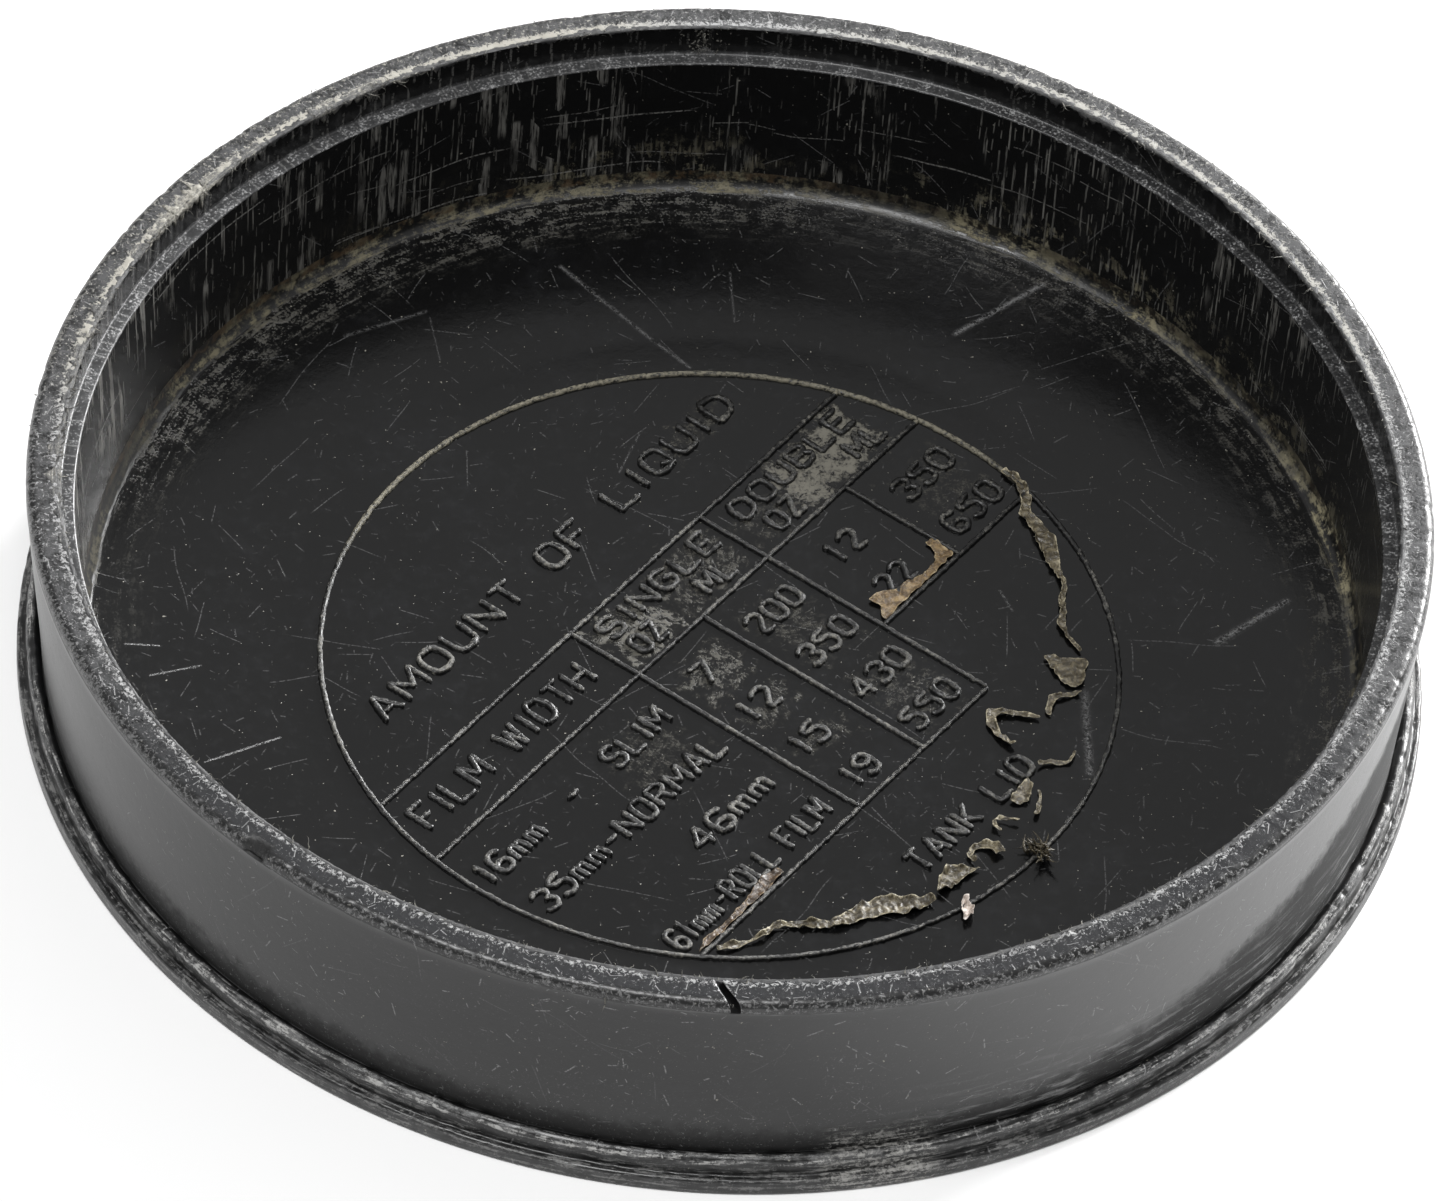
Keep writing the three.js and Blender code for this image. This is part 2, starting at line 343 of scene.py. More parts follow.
def jagged(steps, seed, run):
    """Uneven steps round a circle, 0 to 1, each a few points long, from short to as long as run."""
    random = np.random.default_rng(seed)
    values = random.uniform(0, 1, steps)
    coarse = np.repeat(random.uniform(0, 1, steps // run + 1), run)[:steps]
    mixed = coarse * 0.55 + values * 0.45
    return (mixed + np.roll(mixed, 1) * 0.6) / 1.6


def scar(angle):
    """1 along the upright tear at the back of the rebate, 0 elsewhere."""
    return 1 - smooth(apart(angle, SCAR_ANGLE) * MOUTH_RADIUS, 0.35, 0.75)


def nicks(angle, count, width, seed):
    """Small dents round an edge, 0 to 1."""
    random = np.random.default_rng(seed)
    total = np.zeros_like(angle)
    for _ in range(count):
        middle, half = random.uniform(0, TAU), random.uniform(0.3, 1) * width / RIM_RADIUS
        total = np.maximum(total, random.uniform(0.3, 1) * (1 - smooth(apart(angle, middle), 0, half)))
    return total


def lid_surface():
    """Points of the moulding as one ring for each point of the section, and the band of each ring."""
    angle = np.arange(ROUND_STEPS) / ROUND_STEPS * TAU
    lean = rim_set(angle)
    edge_dents = nicks(angle, 90, 0.9, 3)
    crest_dents = nicks(angle, 150, 1.2, 4)
    lip_dents = nicks(angle, 110, 1.0, 5)
    chewed = torn(angle) * np.clip(ring_noise(angle, 420, 6), -1, 1.6)
    rough = ring_noise(angle, 600, 7)
    gouge = 1 - smooth(np.abs(angle - GOUGE_ANGLE) * RIM_RADIUS, 0.5, 1.3)
    rows, bands = [], []
    for band, points in lid_section():
        for radius, height in points:
            r = np.full(ROUND_STEPS, float(radius))
            z = np.full(ROUND_STEPS, float(height))
            if height > BEAD_TOP - 0.4 and radius > 50:
                r += lean * smooth(np.array(height), 3, LID_HEIGHT)
            if band in ("shoulder", "rim", "mouth"):
                outer = smooth(np.array(radius), 54.6, 55.8)
                inner = 1 - smooth(np.array(radius), 53.3, 54.3)
                r -= 0.09 * edge_dents * outer + 0.3 * gouge * outer
                z -= 0.05 * edge_dents * outer + 0.4 * gouge * outer
                z += 0.02 * rough + 0.07 * chewed * inner
                r += 0.12 * chewed * inner
            if band == "rebate":
                r += 0.03 * rough + 0.35 * scar(angle)
            if band in ("crest", "bead"):
                r -= 0.10 * crest_dents
                z -= 0.05 * crest_dents
            if band == "lip":
                r -= 0.10 * lip_dents * smooth(np.array(height), 0.9, 1.4)
            rows.append(np.stack([r * np.cos(angle), r * np.sin(angle), z], -1))
            bands.append(band)
    return rows, bands


def make_lid(materials):
    """The whole moulding as one closed surface, in five finishes that FINISH_OF_BAND gives to its bands."""
    rows, bands = lid_surface()
    rings, bands = rows[1:], bands[1:]
    points = np.concatenate([*rings, [(0, 0, 0), (0, 0, FLOOR)]])
    low, high = len(points) - 2, len(points) - 1
    n = ROUND_STEPS
    last = (len(rings) - 1) * n
    faces = [(low, (k + 1) % n, k) for k in range(n)]
    faces += ring_faces(len(rings), n)
    faces += [(high, last + k, last + (k + 1) % n) for k in range(n)]
    lid = make_piece("lid_moulding", points, faces, materials[0], ["lid"])
    for material in materials[1:]:
        lid.data.materials.append(material)
    finishes = [FINISH_OF_BAND.get(band, 0) for band in bands]
    lid.data.polygons.foreach_set("material_index", np.repeat([0, *finishes[1:], finishes[-1]], n))
    nominal = [radius for _, outline in lid_section() for radius, _ in outline][1:]
    point_values(lid.data, "nominal_radius", np.concatenate([np.repeat(nominal, n), [0, 0]]))
    for name, wanted in BAND_WEAR.items():
        values = np.repeat([wanted.get(band, 0.0) for band in bands], n)
        point_values(lid.data, name, np.concatenate([values, [0, 0]]))
    cut_slit(lid)


# Which bands of the section each kind of wear lies on
BAND_WEAR = {
    "edge_scuff": {"crest": 1.0, "bead": 0.25, "lip": 0.35},
    "outside": {"skirt": 1.0, "seam": 1.0},
}

# The finish of each band: 0 outside, 1 rim, 2 wall, 3 floor, 4 ledge
FINISH_OF_BAND = {
    "shoulder": 1, "rim": 1, "mouth": 1,
    "rebate": 4, "root": 4, "ledge": 4, "corner": 4, "wall": 2,
    "fillet": 3, "apron": 3, "floor": 3,
}


def slit_blade():
    """A thin curved blade, a little wider above than below, where the slit is."""
    blade = bmesh.new()
    steps = 12
    loops = []
    for i in range(steps + 1):
        along = (i / steps - 0.5) * SLIT_LENGTH
        bend = 0.25 * (along / SLIT_LENGTH * 2) ** 2
        half = SLIT_WIDTH * (0.52 + 0.15 * math.cos(along))
        loops.append([
            blade.verts.new((along, bend + side * half, height))
            for side, height in ((-1, SLIT_DEPTH), (1, SLIT_DEPTH), (0.8, -SLIT_DEPTH), (-0.8, -SLIT_DEPTH))
        ])
    for first, second in zip(loops, loops[1:]):
        for k in range(4):
            m = (k + 1) % 4
            blade.faces.new((first[k], first[m], second[m], second[k]))
    blade.faces.new(loops[0][::-1])
    blade.faces.new(loops[-1])
    bmesh.ops.recalc_face_normals(blade, faces=blade.faces)
    middle = Vector((SLIT_X, -(MOUTH_RADIUS + RIM_RADIUS) / 2, LID_HEIGHT))
    blade.transform(Matrix.Scale(MM, 4) @ Matrix.Translation(middle) @ Matrix.Rotation(SLIT_TURN, 4, "Z"))
    mesh = bpy.data.meshes.new("slit_blade")
    blade.to_mesh(mesh)
    blade.free()
    return put_in_scene("slit_blade", mesh)


def cut_slit(lid):
    """Cuts the slanting slit through the rim."""
    blade = slit_blade()
    cut = lid.modifiers.new("slit", "BOOLEAN")
    cut.operation = "DIFFERENCE"
    cut.solver = "EXACT"
    cut.object = blade
    apply_modifiers(lid)
    bpy.data.objects.remove(blade)


# ---------------------------------------------------------------- the raised fill table


def rounded_bar(points, width, height, closed):
    """Points and faces of a raised strip along a route on the floor, with a rounded, slightly uneven top."""
    route = np.array(points)
    count = len(route)
    if closed:
        ahead = np.roll(route, -1, 0) - np.roll(route, 1, 0)
    else:
        ahead = np.gradient(route, axis=0)
    ahead /= np.linalg.norm(ahead, axis=1)[:, None]
    side = np.stack([-ahead[:, 1], ahead[:, 0]], -1)
    section = [
        (-0.5, -0.4), (-0.46, 0.55), (-0.28, 0.92), (0, 1.0), (0.28, 0.92), (0.46, 0.55), (0.5, -0.4),
    ]
    random = np.random.default_rng(count)
    swell = 1 + 0.10 * random.standard_normal(count)
    if not closed:
        swell[[0, -1]] *= 0.5
        swell[[1, -2]] *= 0.9
    out = []
    for across, up in section:
        out.append(np.column_stack([
            route + side * (across * width * swell)[:, None],
            np.full(count, FLOOR + up * height),
        ]))
    rings = len(section)
    points = np.stack(out, 1).reshape(-1, 3)
    faces = []
    for i in range(count if closed else count - 1):
        j = (i + 1) % count
        for k in range(rings):
            m = (k + 1) % rings
            faces.append((i * rings + k, i * rings + m, j * rings + m, j * rings + k))
    if not closed:
        faces.append(tuple(range(rings))[::-1])
        faces.append(tuple((count - 1) * rings + k for k in range(rings)))
    return points, faces


def raised_bars(routes, width, height):
    """Points and faces of a raised strip along each route; every route comes with whether it is closed."""
    all_points, all_faces = [], []
    start = 0
    for route, closed in routes:
        points, faces = rounded_bar(route, width, height, closed)
        all_faces += [tuple(start + v for v in face) for face in faces]
        start += len(points)
        all_points.append(points)
    return np.concatenate(all_points), all_faces


def make_table_piece(name, points, faces, material):
    """A piece of the raised table, moved from the table's own axes onto the floor."""
    points[:, 0], points[:, 1] = onto_floor(points[:, 0].copy(), points[:, 1].copy())
    make_piece(name, points, faces, material)


def make_rules(material):
    """The ring and the straight rules of the table, as one raised grid."""
    step = 0.25
    angles = np.arange(0, TAU, step / RING_RADIUS)
    routes = [(RING_RADIUS * np.column_stack([np.cos(angles), np.sin(angles)]), True)]

    def reach(y):
        return math.sqrt(RING_RADIUS**2 - y**2)

    def rule(x0, y0, x1, y1):
        count = int(math.hypot(x1 - x0, y1 - y0) / step)
        share = np.linspace(0, 1, count)[:, None]
        routes.append((np.array([x0, y0]) + share * np.array([x1 - x0, y1 - y0]), False))

    rule(-reach(HEAD_RULE_Y), HEAD_RULE_Y, reach(HEAD_RULE_Y), HEAD_RULE_Y)
    rule(-reach(ROW_RULE_Y), ROW_RULE_Y, reach(ROW_RULE_Y), ROW_RULE_Y)
    rule(SINGLE_END_X, DOUBLE_END_Y, reach(DOUBLE_END_Y), DOUBLE_END_Y)
    rule(-reach(TABLE_END_Y), TABLE_END_Y, SINGLE_END_X, TABLE_END_Y)
    rule(LABEL_RULE_X, HEAD_RULE_Y, LABEL_RULE_X, TABLE_END_Y)
    rule(SINGLE_SPLIT_X, ROW_RULE_Y, SINGLE_SPLIT_X, TABLE_END_Y)
    rule(SINGLE_END_X, HEAD_RULE_Y, SINGLE_END_X, TABLE_END_Y)
    rule(DOUBLE_SPLIT_X, ROW_RULE_Y, DOUBLE_SPLIT_X, DOUBLE_END_Y)
    uneven = []
    for route, closed in routes:
        random = np.random.default_rng(len(route))
        uneven.append((route + 0.02 * random.standard_normal(route.shape), closed))
    points, faces = raised_bars(uneven, RULE_WIDTH, RULE_HEIGHT)
    make_table_piece("table_rules", points, faces, material)


# The table's words and numbers: text, left end, right end, baseline and capital height, in the table's axes
TABLE_TEXT = [
    ("AMOUNT OF LIQUID", -22.8, 23.6, 16.3, 2.5),
    ("FILM WIDTH", -29.6, -8.2, 6.3, 2.6),
    ("SINGLE", -3.9, 10.4, 7.9, 2.1),
    ("DOUBLE", 13.8, 28.6, 7.9, 2.1),
    ("OZ", -3.4, -0.4, 5.0, 2.0),
    ("ML", 5.4, 8.8, 5.0, 2.0),
    ("OZ", 14.8, 18.2, 5.0, 2.0),
    ("ML", 25.6, 29.2, 5.0, 2.0),
    ("16mm  -  SLIM", -31.2, -7.8, -1.1, 2.2),
    ("35mm-NORMAL", -30.6, -7.4, -6.4, 2.2),
    ("46mm", -17.4, -8.2, -11.8, 2.2),
    ("61mm-ROLL FILM", -27.0, -7.4, -17.0, 2.2),
    ("7", -2.9, -1.1, -1.1, 2.2),
    ("200", 4.4, 10.0, -1.1, 2.2),
    ("12", 15.1, 18.4, -1.1, 2.2),
    ("350", 24.3, 30.6, -1.1, 2.2),
    ("12", -3.6, -0.2, -6.4, 2.2),
    ("350", 4.4, 10.2, -6.4, 2.2),
    ("22", 14.8, 18.2, -6.4, 2.2),
    ("650", 24.0, 30.2, -6.4, 2.2),
    ("15", -3.8, -0.6, -11.8, 2.2),
    ("430", 4.2, 10.2, -11.8, 2.2),
    ("19", -3.8, -0.8, -17.0, 2.2),
    ("550", 4.2, 10.0, -17.0, 2.2),
    ("TANK LID", -7.9, 7.1, -26.7, 2.3),
]
# Single-stroke letters on a grid 4 wide and 6 high: each pair of digits is a point, each word a stroke
GLYPHS = {
    "A": "002640 1232", "B": "0006 063645443303 3342413000", "D": "00062645412000", "E": "46060040 0333",
    "F": "460600 0333", "G": "45361605011030414323", "H": "0006 4046 0343", "I": "2026",
    "K": "0006 0246 1340", "L": "060040", "M": "0006224640", "N": "00064046", "O": "163645413010010516",
    "Q": "163645413010010516 2240",
    "R": "0006 063645443303 2340", "S": "453616050413334241301001", "T": "0646 2620", "U": "060110304146",
    "W": "0610253046", "Z": "06460040", "m": "0004 03142320 23344340", "-": "0343",
    "0": "163645413010010516", "1": "152620", "2": "05163645440040", "3": "05163645443323 334241301001",
    "4": "30360242", "5": "460604344341301001", "6": "453616050110304142331302", "7": "064610",
    "9": "011030414536160504133344",
}
ROUND_GLYPHS = "BDGOQRSUm023569"
NARROW_GLYPHS = {"I": 1.6, "1": 2.6, " ": 3.0, "-": 3.4, "M": 4.6, "W": 4.8}
STROKE_WIDTH = 0.54
STROKE_HEIGHT = 0.42


def rounded_route(route):
    """Cuts the corners of a route once, keeping its ends."""
    before, after = route[:-1], route[1:]
    cut = np.stack([before * 0.72 + after * 0.28, before * 0.28 + after * 0.72], 1).reshape(-1, 2)
    return np.concatenate([route[:1], cut, route[-1:]])


def even_route(route, step):
    """The same route with evenly spaced points."""
    lengths = np.concatenate([[0], np.cumsum(np.linalg.norm(np.diff(route, axis=0), axis=1))])
    count = max(int(lengths[-1] / step), 3)
    marks = np.linspace(0, lengths[-1], count)
    return np.column_stack([np.interp(marks, lengths, route[:, k]) for k in range(2)])


def text_strokes(words, left, right, baseline, capital):
    """The strokes of one line of text as routes in the table's axes, stretched to its place."""
    pen = 0.0
    strokes = []
    for letter in words:
        advance = NARROW_GLYPHS.get(letter, 4.0)
        for stroke_text in GLYPHS.get(letter, "").split():
            pairs = [(int(stroke_text[i]), int(stroke_text[i + 1])) for i in range(0, len(stroke_text), 2)]
            route = np.array(pairs, dtype=float)
            route[:, 0] = (route[:, 0] - 2) * min(advance / 4, 1.15) + 2 * advance / 4 + pen
            if letter in ROUND_GLYPHS:
                route = rounded_route(rounded_route(route))
            strokes.append(route)
        pen += advance + 1.7
    width = pen - 1.7
    scale = np.array([(right - left) / width, capital / 6])
    return [route * scale + np.array([left, baseline]) for route in strokes]


def make_letters(material):
    """The raised words and numbers, worn lower in places and no longer quite straight."""
    routes = [(even_route(route, 0.13), False) for entry in TABLE_TEXT for route in text_strokes(*entry)]
    points, faces = raised_bars(routes, STROKE_WIDTH, STROKE_HEIGHT)
    for point in points:
        point[:2] += np.array(noise.noise_vector(Vector(point * 1.9)).xy) * 0.08
        if point[2] > FLOOR:
            wear = 0.5 + noise.noise(Vector(point * 0.5)) * 0.7 + noise.noise(Vector(point * 3.0)) * 0.25
            point[2] = FLOOR + (point[2] - FLOOR) * (0.62 + 0.38 * min(max(wear, 0), 1))
    make_table_piece("table_letters", points, faces, material)


# ---------------------------------------------------------------- torn plastic along the rim


def rim_place(angle, radius, height):
    """Points on or near the rim, moved with its loss of roundness."""
    r = radius + rim_set(angle)
    return np.stack([r * np.cos(angle), r * np.sin(angle), height + 0 * angle], -1)


def make_burr(material):
    """The frayed inner edge of the rim: a thin torn lip that folds over and hangs into the rebate."""
    steps = 2 * ROUND_STEPS
    angle = np.arange(steps) / steps * TAU
    strength = torn(angle)
    clumps = np.clip(0.75 + 0.5 * ring_noise(angle, 130, 12), 0.25, 1.6)
    hang = 0.06 + 2.4 * strength * clumps * (jagged(steps, 11, 5) * jagged(steps, 17, 2)) ** 1.1
    reach = 0.08 + 1.5 * strength * (0.5 + 0.5 * clumps) * jagged(steps, 13, 4)
    puff = 0.02 + 0.08 * strength * clumps * jagged(steps, 14, 2)
    top = LID_HEIGHT
    section = [
        (MOUTH_RADIUS + 0.15 + reach, top - 0.04),
        (MOUTH_RADIUS + 0.10 + reach * 0.7, top + puff * 0.35),
        (MOUTH_RADIUS + 0.06 + reach * 0.4, top + puff * 0.4 * jagged(steps, 16, 2)),
        (MOUTH_RADIUS + 0.02 + reach * 0.2, top + puff),
        (MOUTH_RADIUS - 0.05 - puff, top - 0.06),
        (MOUTH_RADIUS - 0.07 - puff * 1.2, top - 0.5 * hang),
        (MOUTH_RADIUS - 0.08 - puff * jagged(steps, 15, 3) * 2, top - hang),
        (MOUTH_RADIUS + 0.02, top - hang * 0.94),
        (MOUTH_RADIUS + 0.04, top - 0.4 * hang),
    ]
    rows = []
    for k, (radius, height) in enumerate(section):
        radius = radius + 0.07 * (jagged(steps, 20 + k, 4) - 0.5)
        height = np.minimum(height + 0.06 * (jagged(steps, 40 + k, 4) - 0.5), LID_HEIGHT + 0.3)
        rows.append(rim_place(angle, radius, height))
    faces = ring_faces(len(rows), steps, closed=True)
    piece = make_piece("rim_burr", np.concatenate(rows), faces, material)
    pale = np.clip(strength * (0.4 + 0.6 * clumps) * 0.75, 0, 1)
    point_values(piece.data, "pale", np.tile(pale, len(rows)))


def add_shred(points, faces, start, ahead, length, width, random, curl):
    """A thin tapering curl of plastic from a starting point, as a three-sided spike with five bends."""
    ahead = ahead / np.linalg.norm(ahead)
    side = np.cross(ahead, random.normal(size=3))
    side /= np.linalg.norm(side)
    place = np.array(start, dtype=float)
    rings = 5
    base = len(points)
    for i in range(rings):
        size = width / 2 * (1 - 0.8 * i / (rings - 1))
        third = np.cross(ahead, side)
        points.append(place + side * size)
        points.append(place - side * size * 0.8)
        points.append(place + third * size * 0.45)
        place = place + ahead * length / rings
        ahead = ahead + curl * third + 0.35 * random.normal(size=3)
        ahead /= np.linalg.norm(ahead)
        side = side - ahead * side.dot(ahead)
        side /= np.linalg.norm(side)
    points.append(place)
    for i in range(rings - 1):
        for k in range(3):
            m = (k + 1) % 3
            a, b = base + 3 * i, base + 3 * i + 3
            faces.append((a + k, a + m, b + m, b + k))
    tip = base + 3 * rings
    last = tip - 3
    faces.extend([(last, last + 1, tip), (last + 1, last + 2, tip), (last + 2, last, tip)])
    faces.append((base, base + 2, base + 1))


SHRED_COUNT = 1500
SCAR_SHREDS = 60
HANGING_SHRED_ANGLE = np.array(math.radians(38.5))
FRONT_SHRED_ANGLE = np.array(math.radians(263))


def round_axes(angle):
    """The directions outward and along the rim at an angle."""
    outward = np.array([math.cos(angle), math.sin(angle), 0])
    return outward, np.array([-outward[1], outward[0], 0])


def add_rim_shreds(points, faces, random):
    """Curls and crumbs along both edges of the rim, more of them where it is torn worst."""
    made = 0
    while made < SHRED_COUNT:
        angle = np.array(random.uniform(0, TAU))
        if random.uniform() > 0.25 + 0.75 * float(torn(angle)):
            continue
        made += 1
        outward, along = round_axes(angle)
        inner = random.uniform() < 0.85
        radius = MOUTH_RADIUS + random.uniform(-0.05, 0.5) if inner else RIM_RADIUS - random.uniform(0.1, 0.5)
        start = rim_place(angle, radius, LID_HEIGHT - (0.05 if inner else 0.2))
        lean = -outward if inner else outward
        ahead = lean * random.uniform(0.2, 1) + along * random.normal()
        ahead = ahead + np.array([0, 0, random.normal() * 0.25])
        length = random.gamma(2.0, 0.2) * (1 + float(torn(angle))) if inner else random.uniform(0.1, 0.35)
        add_shred(points, faces, start, ahead, min(length, 1.9), random.uniform(0.07, 0.24), random, 0.35)


def add_scar_shreds(points, faces, random):
    """Shorter curls all down the upright tear at the back."""
    for _ in range(SCAR_SHREDS):
        angle = np.array(SCAR_ANGLE + random.normal() * 0.014)
        outward, along = round_axes(angle)
        start = rim_place(angle, MOUTH_RADIUS - 0.02, random.uniform(LEDGE - 0.2, LID_HEIGHT))
        ahead = along * random.normal() - outward * 0.5 + np.array([0, 0, random.normal()])
        length, width = random.uniform(0.2, 0.7), random.uniform(0.1, 0.3)
        add_shred(points, faces, start, ahead, length, width, random, 0.3)


def make_shreds(material):
    """Loose curls and crumbs of plastic along the torn rim and the scar, and the two longest ones."""
    random = np.random.default_rng(8)
    points, faces = [], []
    add_rim_shreds(points, faces, random)
    add_scar_shreds(points, faces, random)
    start = rim_place(HANGING_SHRED_ANGLE, MOUTH_RADIUS - 0.05, LID_HEIGHT - 0.1)
    add_shred(points, faces, start, np.array([-0.35, -0.3, -1.0]), 1.9, 0.3, random, 0.25)
    start = rim_place(FRONT_SHRED_ANGLE, RIM_RADIUS - 0.1, LID_HEIGHT - 0.4)
    add_shred(points, faces, start, np.array([0.1, -0.35, -1.0]), 1.7, 0.34, random, 0.2)
    heights = np.array(points)
    heights[:, 2] = np.minimum(heights[:, 2], LID_HEIGHT + 0.4)
    piece = make_piece("rim_shreds", heights, faces, material)
    point_values(piece.data, "pale", np.full(len(points), 0.9))


# ---------------------------------------------------------------- scraps of dried film

FILM_THICKNESS = 0.07
FILM_EDGE = 0.4
TUFT_STRIPS = 46


def film_sheet(name):
    """The outline of a CAD scrap as an open sheet with edges no longer than FILM_EDGE."""
    sheet = bmesh.new()
    sheet.from_mesh(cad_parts[name].data)
    sheet.normal_update()
    under = [face for face in sheet.faces if face.normal.z < 0.9]
    bmesh.ops.delete(sheet, geom=under, context="FACES")
    bmesh.ops.remove_doubles(sheet, verts=sheet.verts, dist=0.01 * MM)
    for _ in range(7):
        long = [edge for edge in sheet.edges if edge.calc_length() > FILM_EDGE * MM]
        if not long:
            break
        bmesh.ops.subdivide_edges(sheet, edges=long, cuts=1)
        bmesh.ops.triangulate(sheet, faces=sheet.faces)
        bmesh.ops.beautify_fill(sheet, faces=sheet.faces, edges=sheet.edges)
    return sheet


def make_scrap(name, material, lift, crumple):
    """A scrap of film over its CAD outline: ragged, wrinkled, curled up along its edges and very thin."""
    sheet = film_sheet(name)
    for point in sheet.verts:
        place = point.co / MM
        edge = point.is_boundary
        wave = noise.noise(place * 0.45)
        ridge = 1 - abs(noise.noise(place * 1.7 + Vector((7, 3, 0)))) * 3
        height = FLOOR + 0.14 + 0.16 * abs(wave) + crumple * max(ridge, 0) ** 2 * 0.8
        if edge:
            ragged = noise.noise_vector(place * 3.1) * 0.22
            place.x += ragged.x
            place.y += ragged.y
            height += lift * abs(noise.noise(place * 0.9 + Vector((0, 5, 1)))) * 2
        place.z = height
        point.co = place * MM
    torn_edge = np.array([float(point.is_boundary) for point in sheet.verts])
    mesh = bpy.data.meshes.new(name)
    sheet.to_mesh(mesh)
    sheet.free()
    point_values(mesh, "torn_edge", torn_edge)
    piece = put_in_scene("film_" + name.removeprefix("scrap_"), mesh)
    solid = piece.modifiers.new("thickness", "SOLIDIFY")
    solid.thickness = FILM_THICKNESS * MM
    solid.offset = -1
    smoother = piece.modifiers.new("smooth", "SUBSURF")
    smoother.levels = smoother.render_levels = 1
    apply_modifiers(piece)
    piece.data.polygons.foreach_set("use_smooth", [True] * len(piece.data.polygons))
    piece.data.materials.clear()
    piece.data.materials.append(material)
    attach(piece, "root")
    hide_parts(name)


def make_tuft(material):
    """The spiky knot of dried film, as a burst of short crumpled strips from one point."""
    low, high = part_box("scrap_tuft")
    middle = np.array([(low[k] + high[k]) / 2 / MM for k in range(3)])
    random = np.random.default_rng(21)
    points, faces = [], []
    for _ in range(TUFT_STRIPS):
        turn = random.uniform(0, TAU)
        ahead = np.array([math.cos(turn), math.sin(turn), random.uniform(-0.1, 0.9)])
        aside, away, above = random.normal() * 0.45, random.normal() * 0.45, random.uniform(-0.1, 0.35)
        start = middle + np.array([aside, away, above])
        length, width = random.uniform(0.7, 2.1), random.uniform(0.25, 0.6)
        add_shred(points, faces, start, ahead, length, width, random, 0.2)
    points = np.array(points)
    points[:, 2] = np.clip(points[:, 2], FLOOR + 0.03, FLOOR + 2.2)
    make_piece("film_tuft", points, faces, material, ["scrap_tuft"])


# ---------------------------------------------------------------- materials


class Value:
    """A number in a material's nodes; sums of Values make Math nodes."""

    def __init__(self, graph, socket):
        self.graph = graph
        self.socket = socket

    def _join(self, operation, first, second=0.0):
        return self.graph.math(operation, first, second)

    def __add__(self, other):
        return self._join("ADD", self, other)

    __radd__ = __add__

    def __mul__(self, other):
        return self._join("MULTIPLY", self, other)

    __rmul__ = __mul__

    def __sub__(self, other):
        return self._join("SUBTRACT", self, other)

    def __rsub__(self, other):
        return self._join("SUBTRACT", other, self)

    def __truediv__(self, other):
        return self._join("DIVIDE", self, other)

    def __abs__(self):
        return self._join("ABSOLUTE", self)


class Graph:
    """A material under construction: short names for the nodes that it is made of."""

    def __init__(self, name):
        self.material = bpy.data.materials.new(name)
        self.material.use_nodes = True
        self.tree = self.material.node_tree
        self.tree.nodes.clear()
        spot = self.add("TexCoord")
        self.place = self.scaled(spot.outputs["Object"], (1 / MM, 1 / MM, 1 / MM))
        self.x, self.y, self.z = self.parts(self.place)

    def add(self, kind, **settings):
        node = self.tree.nodes.new("ShaderNode" + kind)
        for key, value in settings.items():
            setattr(node, key, value)
        return node

    def link(self, value, socket):
        if isinstance(value, Value):
            value = value.socket
        if isinstance(value, bpy.types.NodeSocket):
            self.tree.links.new(value, socket)
        else:
            socket.default_value = value

    def math(self, operation, *values):
        node = self.add("Math", operation=operation)
        for value, socket in zip(values, node.inputs):
            self.link(value, socket)
        return Value(self, node.outputs[0])

    def vector(self, operation, *values):
        node = self.add("VectorMath", operation=operation)
        for value, socket in zip(values, node.inputs):
            self.link(value, socket)
        return node.outputs["Vector"]

    def scaled(self, vector, factors, shift=(0, 0, 0)):
        return self.vector("MULTIPLY_ADD", vector, factors, shift)

    def parts(self, vector):
        node = self.add("SeparateXYZ")
        self.link(vector, node.inputs[0])
        return [Value(self, output) for output in node.outputs]

    def together(self, x, y, z):
        node = self.add("CombineXYZ")
        for value, socket in zip((x, y, z), node.inputs):
            self.link(value, socket)
        return node.outputs[0]

    def noise(self, vector, scale, detail=2.0, roughness=0.55, distortion=0.0):
        node = self.add("TexNoise")
        self.link(vector, node.inputs["Vector"])
        node.inputs["Scale"].default_value = scale
        node.inputs["Detail"].default_value = detail
        node.inputs["Roughness"].default_value = roughness
        node.inputs["Distortion"].default_value = distortion
        return Value(self, node.outputs[0])

    def step(self, value, low, high):
        """0 below low, 1 above high, smooth between; low may be above high to turn it round."""
        node = self.add("MapRange", interpolation_type="SMOOTHSTEP")
        self.link(value, node.inputs["Value"])
        flip = low > high
        node.inputs["From Min"].default_value = min(low, high)
        node.inputs["From Max"].default_value = max(low, high)
        node.inputs["To Min"].default_value = 1.0 if flip else 0.0
        node.inputs["To Max"].default_value = 0.0 if flip else 1.0
        return Value(self, node.outputs["Result"])

    def most(self, *values):
        total = values[0]
        for value in values[1:]:
            total = self.math("MAXIMUM", total, value)
        return total

    def mix(self, share, low, high):
        node = self.add("Mix", data_type="FLOAT")
        for value, socket in zip((share, low, high), (node.inputs[0], node.inputs[2], node.inputs[3])):
            self.link(value, socket)
        return Value(self, node.outputs[0])

    def blend(self, share, low, high):
        node = self.add("Mix", data_type="RGBA")
        for value, socket in zip((share, low, high), (node.inputs[0], node.inputs[6], node.inputs[7])):
            self.link(value, socket)
        return node.outputs[2]

    def attribute(self, name):
        return Value(self, self.add("Attribute", attribute_name=name).outputs["Fac"])


